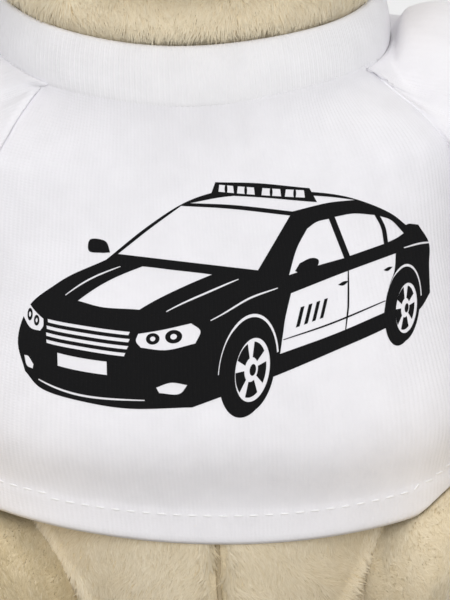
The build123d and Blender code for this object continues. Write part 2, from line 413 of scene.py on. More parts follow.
def egg(middle: Sequence, half: Sequence, rows: int, columns: int, axis: tuple = (0, 0, 1)) -> Surface:
    """An egg: its middle plus half sizes times the cosine and sine of two angles, with its poles on an axis.

    Args:
        middle: its centre.
        half: half sizes along X, Y and Z.
        rows: rings from pole to pole.
        columns: points round each ring.
        axis: where the last pole lies.

    Returns:
        The closed surface.
    """
    polar = np.linspace(np.pi, 0, rows)
    pole = unit(np.array(axis, float))
    first = unit(np.cross(pole, UP if abs(pole[2]) < 0.9 else [0.0, 1.0, 0.0]))
    line, radius = np.cos(polar)[:, None] * pole, np.sin(polar)
    return Surface(middle + carried(line, first, np.cross(pole, first), radius, radius, columns) * half)


def rod(line: Array, radius: float, columns: int = 8) -> Surface:
    """A thread along a line of points: a ring about each, square to the line, and a point at either end."""
    along = unit(np.gradient(line, axis=0))
    side = unit(np.cross(along, [0.12, -1.0, 0.33]))
    radii = np.full(len(line), radius)
    radii[[0, -1]] *= 0.02
    return Surface(carried(line, side, np.cross(along, side), radii, radii, columns))


# ---- shader nodes


class Value:
    """A shader socket that Python's arithmetic works on. Each operation adds one Math node."""

    def __init__(self, graph: "Graph", socket: bpy.types.NodeSocket) -> None:
        """Wraps an output of one of the graph's nodes."""
        self.graph, self.socket = graph, socket

    def math(self, operation: str, *others: "float | Value") -> "Value":
        """This value and others through one Math node."""
        return self.graph.math(operation, self, *others)

    def __add__(self, other: "float | Value") -> "Value":
        """The sum."""
        return self.math("ADD", other)

    def __sub__(self, other: "float | Value") -> "Value":
        """The difference."""
        return self.math("SUBTRACT", other)

    def __rsub__(self, other: float) -> "Value":
        """A number less this value."""
        return self.graph.math("SUBTRACT", other, self)

    def __mul__(self, other: "float | Value") -> "Value":
        """The product."""
        return self.math("MULTIPLY", other)

    def __truediv__(self, other: "float | Value") -> "Value":
        """The quotient."""
        return self.math("DIVIDE", other)

    __radd__, __rmul__ = __add__, __mul__

    def wave(self) -> "Value":
        """The cosine of whole turns, of which only the fraction counts, raised to run from nought to one."""
        return (self.math("FRACT") * (2 * math.pi)).math("COSINE") * 0.5 + 0.5

    def between(self, low: float, high: float) -> "Value":
        """Nought below low, one above high, and a smooth step between."""
        inputs = {"Value": self, "From Min": low, "From Max": high}
        return self.graph.value("ShaderNodeMapRange", {"interpolation_type": "SMOOTHSTEP"}, inputs)


class Graph:
    """The nodes of a material or a world."""

    def __init__(self, owner: "bpy.types.Material | bpy.types.World") -> None:
        """Starts a new material or world with no nodes."""
        self.made = owner
        self.made.use_nodes = True
        self.tree = self.made.node_tree
        self.tree.nodes.clear()

    def node(self, kind: str, settings: dict, inputs: dict) -> bpy.types.Node:
        """Adds one node.

        Args:
            kind: the node's type.
            settings: its own properties, set first.
            inputs: values or links of its sockets, by name or number.

        Returns:
            The node.
        """
        made = self.tree.nodes.new(kind)
        for key, setting in settings.items():
            setattr(made, key, setting)
        for key, given in inputs.items():
            given = given.socket if isinstance(given, Value) else given
            if isinstance(given, bpy.types.NodeSocket):
                self.tree.links.new(given, made.inputs[key])
            else:
                made.inputs[key].default_value = given
        return made

    def value(self, kind: str, settings: dict, inputs: dict) -> Value:
        """Adds one node and wraps its first output."""
        return Value(self, self.node(kind, settings, inputs).outputs[0])

    def math(self, operation: str, *terms: "float | Value") -> Value:
        """Adds one Math node."""
        return self.value("ShaderNodeMath", {"operation": operation}, dict(enumerate(terms)))

    def seen(self) -> Value:
        """One for what the camera sees, also in gloss and through glass, else nought."""
        path = self.node("ShaderNodeLightPath", {}, {}).outputs
        rays = ("Camera", "Glossy", "Transmission")
        camera, gloss, glass = (Value(self, path[f"Is {ray} Ray"]) for ray in rays)
        return camera.math("MAXIMUM", gloss).math("MAXIMUM", glass)

    def place(self) -> bpy.types.NodeSocket:
        """Object coordinates, in metres."""
        return self.node("ShaderNodeTexCoord", {}, {}).outputs["Object"]

    def apart(self, vector: bpy.types.NodeSocket) -> tuple[Value, Value]:
        """The first two numbers of a vector."""
        split_up = self.node("ShaderNodeSeparateXYZ", {}, {0: vector}).outputs
        return Value(self, split_up[0]), Value(self, split_up[1])

    def map(self) -> tuple[Value, Value]:
        """The piece's own map, across and along."""
        return self.apart(self.node("ShaderNodeUVMap", {"uv_map": MAP_NAME}, {}).outputs[0])

    def noise(self, size: float, detail: float = 2.0, stretch: Optional[tuple] = None) -> Value:
        """Noise on object coordinates.

        Args:
            size: the pattern's size in metres.
            detail: how many finer layers lie on it.
            stretch: how many times longer the pattern is along each axis.

        Returns:
            A value about a half.
        """
        place = self.place()
        if stretch:
            inputs = {0: place, 1: stretch}
            place = self.node("ShaderNodeVectorMath", {"operation": "DIVIDE"}, inputs).outputs[0]
        return self.value("ShaderNodeTexNoise", {}, {"Vector": place, "Scale": 1 / size, "Detail": detail})

    def mix(self, share: "float | Value", first: object, second: object) -> bpy.types.NodeSocket:
        """So much of the second over the first, each three numbers or a socket."""
        first, second = ((*c, 1.0) if isinstance(c, tuple) else c for c in (first, second))
        return self.node("ShaderNodeMix", {"data_type": "RGBA"}, {0: share, 6: first, 7: second}).outputs[2]

    def bump(self, height: Value, depth: float) -> bpy.types.NodeSocket:
        """A normal that follows a height from nought to one, so many metres deep."""
        inputs = {"Height": height, "Distance": depth, "Strength": 1.0}
        return self.node("ShaderNodeBump", {}, inputs).outputs[0]

    def surface(self, **sockets: object) -> bpy.types.Material:
        """Closes the graph with a Principled shader.

        Args:
            **sockets: its sockets, with underscores for spaces. A colour is three numbers.

        Returns:
            The finished material.
        """
        inputs = {}
        for key, given in sockets.items():
            inputs[key.replace("_", " ")] = (*given, 1.0) if isinstance(given, tuple) else given
        shader = self.node("ShaderNodeBsdfPrincipled", {}, inputs)
        self.node("ShaderNodeOutputMaterial", {}, {"Surface": shader.outputs[0]})
        return self.made


def shaded(colour: tuple, share: float) -> tuple:
    """A colour times a number."""
    return tuple(share * c for c in colour)


class Finish:
    """What a piece is covered with. Each finish makes its material once."""

    slot: str = ""
    name: str = ""

    def material(self) -> bpy.types.Material:
        """The finish's material, made at its first use."""
        found = bpy.data.materials.get(self.name)
        return found or self.build(Graph(bpy.data.materials.new(self.name)))

    def build(self, graph: Graph) -> bpy.types.Material:
        """Wires the nodes."""
        raise NotImplementedError


# ---- finishes


@dataclass(frozen=True)
class Backing(Finish):
    """The cloth under a pile, seen only between tufts."""

    slot: str = "plush"
    name: str = "plush_backing"
    # The backing's own colour, darker than the pile's tips: partly painted shade down between the tufts.
    colour: tuple = (0.78, 0.66, 0.45)

    def build(self, graph: Graph) -> bpy.types.Material:
        """A mottled matte colour with a fine grain."""
        patches = graph.noise(4 * MM, 3.0).between(0.3, 0.7)
        tone = graph.mix(patches, shaded(self.colour, 0.85), self.colour)
        grain = graph.bump(graph.noise(0.5 * MM), 0.25 * MM)
        return graph.surface(Base_Color=tone, Roughness=0.95, Normal=grain)


@dataclass(frozen=True)
class Plush(Finish):
    """Tufts of pile. Across the map runs each tuft's tone, and along it the way from root to tip."""

    slot: str = "plush"
    name: str = "plush_pile"
    # The root colour is painted shade, darker as if down among the tufts.
    root: tuple = (0.76, 0.64, 0.44)
    dull: tuple = (0.62, 0.498, 0.286)
    bright: tuple = (1.0, 0.90, 0.71)

    def build(self, graph: Graph) -> bpy.types.Material:
        """Roots darkened as painted shade down among the tufts, and tips between a dull and a bright tone."""
        tone, along = graph.map()
        colour = graph.mix(along.between(-0.1, 0.75), self.root, graph.mix(tone, self.dull, self.bright))
        return graph.surface(Base_Color=colour, Roughness=0.8, Sheen_Weight=0.15, Sheen_Roughness=0.4)


@dataclass(frozen=True)
class Jersey(Finish):
    """Fine white knit, with its wales counted across the map and its courses along it."""

    wales: float = 367
    courses: float = 155
    colour: tuple = (0.845, 0.835, 0.87)
    slot: str = "jersey"

    @property
    def name(self) -> str:
        """One material for each count of loops."""
        return f"jersey_{self.wales:.0f}_{self.courses:.0f}"

    def relief(self, graph: Graph) -> Value:
        """The loops' height: a ridge for each wale across, notched at each course along, under fuzz."""
        across, along = graph.map()
        wander = graph.noise(9 * MM) - 0.5
        wale = (across * self.wales + wander * 0.8).wave()
        course = (along * self.courses + wander * 0.8).wave()
        return wale * 0.5 * (course * 0.35 + 0.65) + graph.noise(0.45 * MM, 3.0) * 0.5

    def build(self, graph: Graph) -> bpy.types.Material:
        """The loops under a faint mottle."""
        mottle = graph.noise(5 * MM, 4.0).between(0.25, 0.75)
        tone = graph.mix(mottle, shaded(self.colour, 0.955), self.colour)
        relief = graph.bump(self.relief(graph), 0.07 * MM)
        return graph.surface(Base_Color=tone, Roughness=0.9, Sheen_Weight=0.1, Normal=relief)


@dataclass(frozen=True)
class Ink(Finish):
    """Matte black print on the shirt's knit, which shows through as relief."""

    slot: str = "jersey"
    name: str = "black_print"
    colour: tuple = (0.0035, 0.0035, 0.004)

    def build(self, graph: Graph) -> bpy.types.Material:
        """A flat dark colour, a little worn where the loops stand up."""
        height = Jersey().relief(graph)
        tone = graph.mix(height.between(0.55, 1.0), self.colour, shaded(self.colour, 2.2))
        relief = graph.bump(height, 0.06 * MM)
        return graph.surface(Base_Color=tone, Roughness=0.85, Specular_IOR_Level=0.15, Normal=relief)


@dataclass(frozen=True)
class Thread(Finish):
    """Spun sewing thread, twisted across the map."""

    slot: str = "jersey"
    name: str = "white_thread"
    colour: tuple = (0.95, 0.945, 0.96)

    def build(self, graph: Graph) -> bpy.types.Material:
        """A colour with fine slanted strands."""
        across, along = graph.map()
        strand = (across * 4 + along * 1.5).wave()
        tone = graph.mix(strand, shaded(self.colour, 0.88), self.colour)
        return graph.surface(Base_Color=tone, Roughness=0.7, Normal=graph.bump(strand, 0.012 * MM))


@dataclass(frozen=True)
class Velour(Finish):
    """Short smooth pile of the pads and the inner ears."""

    slot: str = "velour"
    name: str = "velour_pad"
    colour: tuple = (0.80, 0.69, 0.50)

    def build(self, graph: Graph) -> bpy.types.Material:
        """Brushed patches over a fine stubble."""
        stubble = graph.noise(0.38 * MM, 4.0)
        brushed = graph.noise(4 * MM, 3.0, (1.0, 1.0, 2.2)).between(0.35, 0.65)
        dark = shaded(self.colour, 0.80)
        tone = graph.mix(brushed * 0.7 + 0.3, dark, self.colour)
        tone = graph.mix(stubble.between(0.35, 0.6) * 0.6 + 0.4, dark, tone)
        relief = graph.bump(stubble, 0.5 * MM)
        return graph.surface(Base_Color=tone, Roughness=0.9, Sheen_Weight=0.3, Normal=relief)


@dataclass(frozen=True)
class Glass(Finish):
    """A glossy dark brown button eye, with a pupil that the rim shades into."""

    slot: str = "eye"
    name: str = "eye_glass"
    colour: tuple = (0.045, 0.018, 0.008)
    fleck: tuple = (0.10, 0.045, 0.02)
    pupil: tuple = (0.004, 0.003, 0.003)

    def build(self, graph: Graph) -> bpy.types.Material:
        """Brown at the rim, black in the middle of the map's far end."""
        _, along = graph.map()
        iris = graph.mix(graph.noise(0.8 * MM, 3.0).between(0.3, 0.8) * 0.4, self.colour, self.fleck)
        tone = graph.mix(along.between(0.60, 0.66), iris, self.pupil)
        gloss = {"Specular_IOR_Level": 0.1, "Coat_Weight": 0.75, "Coat_Roughness": 0.03}
        return graph.surface(Base_Color=tone, Roughness=0.25, **gloss)


@dataclass(frozen=True)
class Satin(Finish):
    """Dark brown satin stitching."""

    slot: str = "nose"
    name: str = "satin_stitch"
    colour: tuple = (0.035, 0.020, 0.014)

    def build(self, graph: Graph) -> bpy.types.Material:
        """Upright strands side by side on the object's own X axis."""
        across, _ = graph.apart(graph.place())
        wander = graph.noise(2 * MM, 1.0) * (0.3 * MM)
        strand = ((across + wander) / (0.42 * MM)).wave()
        tone = graph.mix(strand, shaded(self.colour, 0.4), self.colour)
        return graph.surface(Base_Color=tone, Roughness=0.45, Normal=graph.bump(strand, 0.12 * MM))


@dataclass(frozen=True)
class Paper(Finish):
    """The studio's pale floor, which throws less light back than the camera sees."""

    name: str = "studio_paper"
    colour: tuple = (0.80, 0.80, 0.80)
    thrown: tuple = (0.40, 0.40, 0.40)

    def build(self, graph: Graph) -> bpy.types.Material:
        """A matte sheet with the faintest grain."""
        tone = graph.mix(graph.noise(60 * MM), self.colour, shaded(self.colour, 1.01))
        return graph.surface(Base_Color=graph.mix(graph.seen(), self.thrown, tone), Roughness=0.9)


# ---- pile


@dataclass(frozen=True)
class Pile:
    """How plush grows: sizes of a tuft in millimetres and tufts on a square millimetre."""

    length: float = 3.0
    width: float = 0.72
    density: float = 2.1
    lift: float = 0.55  # how far the tip stands off the cloth
    swirl: float = 0.55  # how far the nap turns aside in patches, in radians
    patch: float = 9.0  # size of such a patch
    ruffle: float = 0.35  # how far single tufts turn aside
    crown: float = 0.45  # how far a tuft's shading rounds to its sides
    lean: float = 0.25  # how far it follows the nap
    floor: float = 0.02  # the lowest that a tuft hangs
    middle_tone: float = 0.74
    patch_tone: float = 0.2
    tuft_tone: float = 0.115

    def grow(
        self,
        name: str,
        body: str,
        skin: Surface,
        nap: Field,
        seed: int,
        share: Optional[Share] = None,
        tint: Optional[Field] = None,
        finish: Finish = Plush(),
    ) -> None:
        """Sows tufts over a surface. Each is a closed shape of four faces: two root corners to the left and
        right, a ridge a third of the way along, and a tip that leans along the nap.

        Args:
            name: the piece's name.
            body: the body it rides on.
            skin: the surface that carries the pile.
            nap: the direction in which the pile lies.
            seed: which sowing.
            share: how much of the density grows, or None for all.
            tint: lighter or darker places, about nought, as painted light and shade.
            finish: the pile's colour.
        """
        rng = np.random.default_rng(seed)
        p, n = skin.points, skin.normals()
        rows, columns = p.shape[:2]
        across, down = (np.roll(p, -1, 1) - p)[:-1], p[1:] - p[:-1]
        area = np.linalg.norm(np.cross(across, down), axis=-1)
        if share is not None:
            area = area * share(p[:-1] + 0.5 * (across + down), n[:-1])
        total = np.cumsum(area.ravel())
        count = min(int(total[-1] * self.density), MOST_TUFTS)
        cell = np.minimum(np.searchsorted(total, rng.random(count) * total[-1]), total.size - 1)
        row = (cell // columns + rng.random(count)) / (rows - 1)
        column = (cell % columns + rng.random(count)) / columns
        at, normal = skin.read(p, row, column), unit(skin.read(n, row, column))
        if share is not None:
            kept = rng.random(count) < (share(at, normal) > 0.02)
            at, normal = at[kept], normal[kept]
            count = len(at)
        along = nap(at)
        along = unit(along - (along * normal).sum(-1, keepdims=True) * normal)
        turn = self.swirl * 2 * rough_noise(at, self.patch, seed) + self.ruffle * rng.normal(size=count)
        along = along * np.cos(turn)[:, None] + np.cross(normal, along) * np.sin(turn)[:, None]
        aside = np.cross(normal, along)
        size = (self.length * rng.uniform(0.7, 1.25, count))[:, None]
        wide = (self.width * rng.uniform(0.75, 1.3, count))[:, None]
        lift = (self.lift * rng.uniform(0.4, 1.5, count))[:, None]
        root = at - 0.25 * self.width * normal
        ridge = at + 0.38 * size * along + (0.35 * lift + 0.45 * wide) * normal
        tip = at + size * along + lift * normal + 0.15 * wide * aside * rng.normal(size=(count, 1))
        corners = np.stack([root - 0.5 * wide * aside, root + 0.5 * wide * aside, ridge, tip], 1)
        corners[..., 2] = np.maximum(corners[..., 2], self.floor)
        tone = self.middle_tone + self.patch_tone * rough_noise(at, 7.0, seed + 5)
        tone = tone + rng.normal(size=count) * self.tuft_tone + (0 if tint is None else tint(at))
        tone = np.clip(tone, 0.02, 0.98)
        tones = np.stack([tone - 0.008, tone + 0.008, tone, tone], 1)
        # Along the map the root corners sit at nought and take the root colour, painted shade among the tufts.
        flat = np.stack([tones, np.tile([0, 0, 0.45, 1.0], (count, 1))], -1)
        order = np.array([[0, 2, 1], [1, 2, 3], [0, 3, 2], [0, 1, 3]])
        faces = (np.arange(count)[:, None, None] * 4 + order).reshape(-1, 3)
        made = mesh_piece(name, corners.reshape(-1, 3), [faces], flat[:, order].reshape(-1, 2), finish)
        facing = np.stack([normal - self.crown * aside, normal + self.crown * aside, normal, normal], 1)
        facing = (facing + self.lean * along[:, None])[:, order]
        facing[:, 3] = 0.4 * along[:, None] - normal[:, None]
        made.data.normals_split_custom_set(unit(facing.reshape(-1, 3)))
        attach(made, body)


FINE_PILE = Pile(2.6, 0.40, 9.0, lift=0.24, swirl=0.7, patch=5.5, ruffle=0.25, crown=0.35, lean=0.35)


def lying(way: Array) -> Field:
    """A nap that lies one way everywhere."""
    return lambda at: at * 0 + way


# ---- the bear


@dataclass
class Trunk:
    """The stuffed body: level rings from the flat seat to the neck, with a sewn seam down the middle."""

    heights: tuple = (0.4, 0.4, 2.4, 9, 24, 44, 64, 86, 104, 119.5, 120.5)
    half_widths: tuple = (0.4, 21, 29.5, 34.6, 40.4, 43.3, 43.8, 41.8, 37.8, 31.6, 1)
    half_depths: tuple = (0.4, 23, 31, 33.6, 36.4, 37.8, 36.8, 34.3, 32.3, 31.6, 1)
    square: float = 2.2
    rows: int = 110
    columns: int = 216
    groove: float = 2.2
    groove_width: float = 0.85
    ridge: float = 0.8
    seam_radius: float = 0.55
    seam_proud: float = 0.6
    tail_radius: float = 11.2
    tail_place: tuple = (0, 39.8, 23)
    pile: Pile = FINE_PILE
    coarse_pile: Pile = Pile()
    tail_pile: Pile = Pile(length=3.6, width=0.68, density=3.2, lift=1.0, swirl=0.9, patch=6)

    def off_ridge(self, x: Array, z: Array) -> Array:
        """How far a place is from the front's side seams, two straight lines that spread upwards."""
        return np.abs(x) - (24.5 + 0.5 * (z - 25))

    def skin(self) -> Surface:
        """Rounded rings whose sizes follow smooth curves through the known heights, drawn in along the middle
        seams by a bell and let out along the side seams by another."""
        sizes = eased(self.rows, self.heights, self.half_widths, self.half_depths)
        skin = Surface(rings(*sizes, self.columns, self.square))
        x, y, z = split(skin.points)
        middle = step(z, 2, 8) * hill(x, self.groove_width)
        sides = hill(self.off_ridge(x, z), 0.9) * (y < 0) * step(z, 5, 12)
        lumps = 0.5 * noise(skin.points, 16, 3)
        return skin.pushed(self.ridge * sides - self.groove * middle + lumps * step(z, 2, 10))

    def nap(self, at: Array) -> Array:
        """The pile falls down the belly and turns outwards from the middle seam."""
        x = at[:, 0]
        return joined(np.sign(x) * (0.25 + 0.25 * step(np.abs(x), 2, 20)), 0 * x, 0 * x - 1)

    def front(self, at: Array, normal: Array) -> Array:
        """The belly under the hem, parted at the seam."""
        x, y, z = split(at)
        parted = 0.12 + 0.88 * step(np.abs(x), 0.35, 0.8)
        return band(z, (3, 6), (46, 49)) * parted * step(-y, 8, 16) * (0.25 + 0.75 * step(z, 12, 18))

    def rest(self, at: Array, normal: Array) -> Array:
        """Everything that the front's fine pile leaves out, up to just inside the shirt."""
        under = np.where(normal[..., 2] < -0.9, 0.35, 1)
        return (1 - self.front(at, normal)) * (1 - step(at[..., 2], 56, 60)) * under

    def seam_shading(self, at: Array) -> Array:
        """Painted shade down the middle seam's groove, and lighter along the side seams."""
        return -0.75 * hill(at[:, 0], 1.1) + 0.2 * hill(self.off_ridge(at[:, 0], at[:, 2]), 1.2)

    def build(self) -> None:
        """Makes the body, its pile, a dark rod of painted shadow in the middle seam, and the tail."""
        skin = self.skin()
        skin.dress("body_backing", Backing(), "trunk", "body", 0.85)
        self.pile.grow("belly_pile", "trunk", skin, self.nap, 11, self.front, self.seam_shading)
        self.coarse_pile.grow("seat_pile", "trunk", skin, lying(-UP), 12, self.rest)
        self.build_seam(skin)
        ball = egg(self.tail_place, (self.tail_radius,) * 3, 40, 48)
        ball.dress("tail_backing", Backing(), "trunk", "tail", 0.8)
        self.tail_pile.grow("tail_pile", "trunk", ball, lying(np.array([0, 0.55, -1.0])), 13)
        LOG.info("trunk: backing, belly pile, seat pile, seam, tail")

    def build_seam(self, skin: Surface) -> None:
        """A dark rod at the bottom of the groove between the belly's two panels: painted shadow of the groove.
        """
        x, y, _ = split(skin.points[self.rows // 2])
        line = skin.points[:, int(np.where(y < 0, np.abs(x), np.inf).argmin())]
        line = line[(line[:, 2] > 5) & (line[:, 2] < 50)] - [0, self.seam_proud, 0]
        # The rod's dark colour is painted shadow, standing for the shade in the groove.
        finish = Backing(name="seam_shadow_backing", colour=(0.44, 0.36, 0.235))
        rod(line, self.seam_radius, 6).dress("belly_seam_shadow", finish, "trunk")


@dataclass
class Head:
    """Neck, cheeks and crown as one turned form, with a muzzle, nose, mouth, eyes and ears."""

    neck_foot: float = 121.3
    neck_radius: float = 32.4
    radius: float = 46.2
    cheek_middle: float = 14.4
    middle: float = 163.0
    top: float = 203.2
    rows: int = 100
    columns: int = 180
    muzzle_half: tuple = (21.0, 18.6, 16.0)
    muzzle_place: tuple = (0, -41, 150)
    nose_half: tuple = (8.5, 4.5, 5.5)
    nose_place: tuple = (0, -57.4, 158)
    strand: float = 0.42
    mouth_drop: float = 4.6
    mouth_width: float = 8.5
    mouth_thread: float = 0.55
    eye_radius: float = 4.3
    eye_place: tuple = (17.5, -41.9, 169)
    socket_width: float = 6.5
    socket_depth: float = 1.3
    brow_seam: float = 0.5
    cheek: float = 0.48
    lumps: float = 0.7
    face_back: float = 4  # how far back the face's pile goes
    neck_pile: Pile = Pile(3.2, 0.37, 9.6, lift=0.40, swirl=0.8, patch=5.0, ruffle=0.3, crown=0.3, lean=0.1)
    pile: Pile = Pile(length=3.1, width=0.70, density=2.25, lift=0.6)
    muzzle_pile: Pile = Pile(length=1.9, width=0.55, density=3.7, lift=0.3, swirl=0.3)

    def from_eyes(self, at: Array) -> Array:
        """Distances from each eye's middle, one row for each eye."""
        return np.stack([away(at, side.place(*self.eye_place)) for side in Side])

    def skin(self) -> Surface:
        """Level rings: the radius follows a straight neck, a cheek arc and an elliptic crown. A bell marks
        the seam over the brow, noise makes it lumpy, and a step lets it swell out over the collar."""
        neck = [[1.0, self.neck_foot], [self.neck_radius - 1.5, self.neck_foot], [self.neck_radius, 123.5]]
        neck.append([self.neck_radius + 0.2, 131.0])
        arc, angle = self.radius - self.cheek_middle, np.radians(np.linspace(-58, 0, 9))
        cheek = joined(self.cheek_middle + arc * np.cos(angle), self.middle + arc * np.sin(angle))
        angle = np.radians(np.linspace(8, 90, 12))
        crown = joined(self.radius * np.cos(angle), self.middle + (self.top - self.middle) * np.sin(angle))
        radius, height = smoothed(np.concatenate([neck, cheek, crown]), self.rows).T
        radius = np.maximum(radius, 0.01)
        skin = Surface(rings(height, radius, radius, self.columns))
        p, (x, y, z) = skin.points, split(skin.points)
        high = step(z, 140, 150)
        cheeks = hill(away(p, [0, -30, 150]) - 34, 14) * high
        sockets = hill(self.from_eyes(p), self.socket_width).sum(0)
        seam = hill(x, 1.1) * step(z, 166, 172) * (y < 20)
        over = z - Collar().top - Collar().plane(x, y)
        roll = step(over, 0.2, 3.5) * (1 - high) * step(z, 121.5, 124) * (1.5 + 0.9 * noise(p, 7, 25))
        swell = self.lumps * noise(p, 18, 21) * high + roll + self.cheek * cheeks
        return skin.pushed(swell - self.socket_depth * sockets - self.brow_seam * seam)

    def nap(self, at: Array) -> Array:
        """The pile runs away from the nose over the face and falls down behind."""
        front = step(-at[:, 1], -10, 25)[:, None]
        return unit(at - [0, -50.0, 160.0]) * front - UP * (1.1 - front)

    def neck(self, at: Array, normal: Array) -> Array:
        """The stretch just over the collar, densest in front."""
        over = band(at[..., 2], (121.5, 123), (137, 139))
        return over * (0.3 + 0.7 * step(-at[..., 1], -8, 4)) * (normal[..., 2] < 0.8)

    def crown(self, at: Array, normal: Array) -> Array:
        """The rest, left bare under the muzzle and the eyes."""
        bare = np.sqrt((((at - self.muzzle_place) / np.array(self.muzzle_half)) ** 2).sum(-1)) < 0.93
        bare |= (self.from_eyes(at) < self.eye_radius + 0.5).any(0)
        return (1 - self.neck(at, normal)) * step(at[..., 2], 123, 125) * ~bare

    def half(self, front: bool) -> Share:
        """The crown's pile in front or behind."""
        return lambda at, normal: self.crown(at, normal) * ((at[..., 1] < self.face_back) == front)

    def shade(self, at: Array) -> Array:
        """Painted shade round the eyes, in their sockets."""
        return -0.3 * hill(self.from_eyes(at), 7).sum(0)

    def throat_light(self, at: Array) -> Array:
        """Painted light: a little lighter where the pile hangs over the collar, in the muzzle's shade."""
        return 0.2 * (1 - step(at[:, 2], 123, 130))

    def muzzle_nap(self, at: Array) -> Array:
        """The pile runs away from a place under the nose."""
        return at - [0, -64.0, 156.0]

    def muzzle(self, at: Array, normal: Array) -> Array:
        """The part in front of the cheeks, bare under the nose."""
        off = (at - self.nose_place) / (np.array(self.nose_half) + [0.3, 9, 0.3])
        return (np.linalg.norm(off, axis=-1) > 1) * step(-at[..., 1], 30, 36)

    def build(self) -> None:
        """Makes every piece of the head."""
        skin = self.skin()
        skin.dress("head_backing", Backing(), "head", "head", 0.9)
        # Painted light: the neck's pile is a lighter copy of the plush, where the muzzle shades the neck.
        tone = Plush("plush", "plush_throat", (0.86, 0.72, 0.49), (0.897, 0.743, 0.488), (1.0, 0.905, 0.70))
        self.neck_pile.grow("neck_pile", "head", skin, lying(-UP), 21, self.neck, self.throat_light, tone)
        self.pile.grow("face_pile", "head", skin, self.nap, 22, self.half(True), self.shade)
        self.pile.grow("crown_pile", "head", skin, self.nap, 23, self.half(False), self.shade)
        self.build_muzzle()
        self.build_mouth()
        self.build_nose()
        for side in Side:
            place = side.place(*self.eye_place)
            eye = egg(place, (self.eye_radius,) * 3, 48, 64, unit(place - [0, 0, 166.0]))
            eye.dress(f"eye_{side.word}_glass", Glass(), "head", f"eye_{side.word}")
            Ear(side).build()
        LOG.info("head: backing, neck, face and crown pile, muzzle, nose, mouth, eyes, ears")

    def build_muzzle(self) -> None:
        """The muzzle in short, light pile: an egg with its pole in front, drawn in by a bell at its seam."""
        skin = egg(self.muzzle_place, self.muzzle_half, 70, 120, (0, -1, 0))
        x, y, z = split(skin.points)
        seam = hill(x, 0.9) * step(self.nose_place[2] - 2 - z, 0, 3) * (y < -50)
        skin = skin.pushed(0.3 * noise(skin.points, 8, 31) - seam)
        # The muzzle's backing and root colour, darker than its tips: partly painted shade down among the tufts.
        root = (0.72, 0.62, 0.44)
        skin.dress("muzzle_backing", Backing("muzzle_plush", "muzzle_backing", root), "head", "muzzle", 0.9)
        tone = Plush("muzzle_plush", "muzzle_pile", root, (0.731, 0.63, 0.448), (0.95, 0.88, 0.71))
        self.muzzle_pile.grow("muzzle_fur", "head", skin, self.muzzle_nap, 24, self.muzzle, None, tone)

    def build_mouth(self) -> None:
        """Three threads on the muzzle's egg: one straight down from the nose, and from its end one to either
        side, whose height falls and rises as a sine."""
        t = np.linspace(0, 1, 60)
        down = self.nose_place[2] - 5.2
        low = down - self.mouth_drop
        lines = {"mouth_drop": (0 * t, down - self.mouth_drop * t)}
        for side in Side:
            smile = low - 3.2 * np.sin(t * 2.5) + 0.4 * t
            lines[f"mouth_{side.word}"] = (side.value * self.mouth_width * t, smile)
        middle, half = self.muzzle_place, self.muzzle_half
        for name, (x, z) in lines.items():
            left = 1 - ((x - middle[0]) / half[0]) ** 2 - ((z - middle[2]) / half[2]) ** 2
            y = middle[1] - half[1] * np.sqrt(np.maximum(left, 0)) - 0.35
            rod(joined(x, y, z), self.mouth_thread).dress(name, Satin(), "head")

    def build_nose(self) -> None:
        """A rounded triangle of satin stitches: an egg that narrows downwards, with a ridge for each row."""
        skin = egg(self.nose_place, self.nose_half, 56, 96, (0, -1, 0))
        low = np.clip((self.nose_place[2] - skin.points[..., 2]) / self.nose_half[2], -1, 1)
        skin.points[..., 0] *= 1 - 0.32 * step(low, -0.4, 1)
        strands = 0.10 * np.cos(skin.points[..., 0] / self.strand * 2 * np.pi)
        skin.pushed(strands).dress("nose_satin", Satin(), "head", "nose")


@dataclass
class Ear:
    """A round ear: a padded disc with a dished front of velour."""

    side: Side
    radius: float = 16.6
    thickness: float = 10.6
    dish: float = 2.6
    spread: float = 35.5
    back: float = 4.0
    height: float = 196.5
    turn: float = 14.0
    dish_share: float = 0.72
    bare_share: float = 0.70  # how much of the front the pile leaves to the lining
    lining_from: int = 38  # the row at which the lining starts
    crown_half: tuple = (44.0, 44.0, 38.5)  # the egg inside the head that the pile keeps out of
    pile: Pile = Pile(length=2.8, width=0.68, density=2.6, lift=0.55)

    def __post_init__(self) -> None:
        """Finds the ear's middle and its own right and front."""
        a = math.radians(self.turn) * self.side.value
        self.middle = self.side.place(self.spread, self.back, self.height)
        self.right = np.array([math.cos(a), math.sin(a), 0])
        self.front = np.array([math.sin(a), -math.cos(a), 0])

    def skin(self) -> Surface:
        """Rings round the front axis. The radius swells from the back pole and returns, and the depth follows
        a flattened circle, dished in front by a cosine of the radius."""
        polar = np.linspace(np.pi, 0, 60)
        radius = self.radius * np.sin(polar) ** 0.72
        depth = 0.5 * self.thickness * power(np.cos(polar), 0.6)
        dish = 0.5 + 0.5 * np.cos(np.pi * np.clip(radius / (self.dish_share * self.radius), 0, 1))
        depth = depth - self.dish * (polar < np.pi / 2) * dish
        line = self.middle + self.front * depth[:, None]
        return Surface(carried(line, self.right, UP, radius, radius, 96))

    def outside(self, at: Array, normal: Array) -> Array:
        """The rim and back, where the head leaves it free."""
        off = at - self.middle
        bare = (off @ self.front > 0) & (np.hypot(off @ self.right, off @ UP) < self.bare_share * self.radius)
        return ~bare * (np.linalg.norm((at - [0, 0, 163.0]) / self.crown_half, axis=-1) > 1)

    def nap(self, at: Array) -> Array:
        """The pile runs outwards, down and back."""
        return (at - self.middle) * 0.6 - UP * 3 - self.front * 4

    def build(self) -> None:
        """Makes the ear, its pile and its velour lining."""
        skin, word = self.skin(), self.side.word
        skin.dress(f"ear_{word}_backing", Backing(), "head", f"ear_{word}", 0.6)
        self.pile.grow(f"ear_{word}_pile", "head", skin, self.nap, 25, self.outside)
        lining = Surface(skin.pushed(0.35).points[self.lining_from :], False, True, False, skin.outward)
        lining.dress(f"ear_{word}_lining", Velour(), "head")


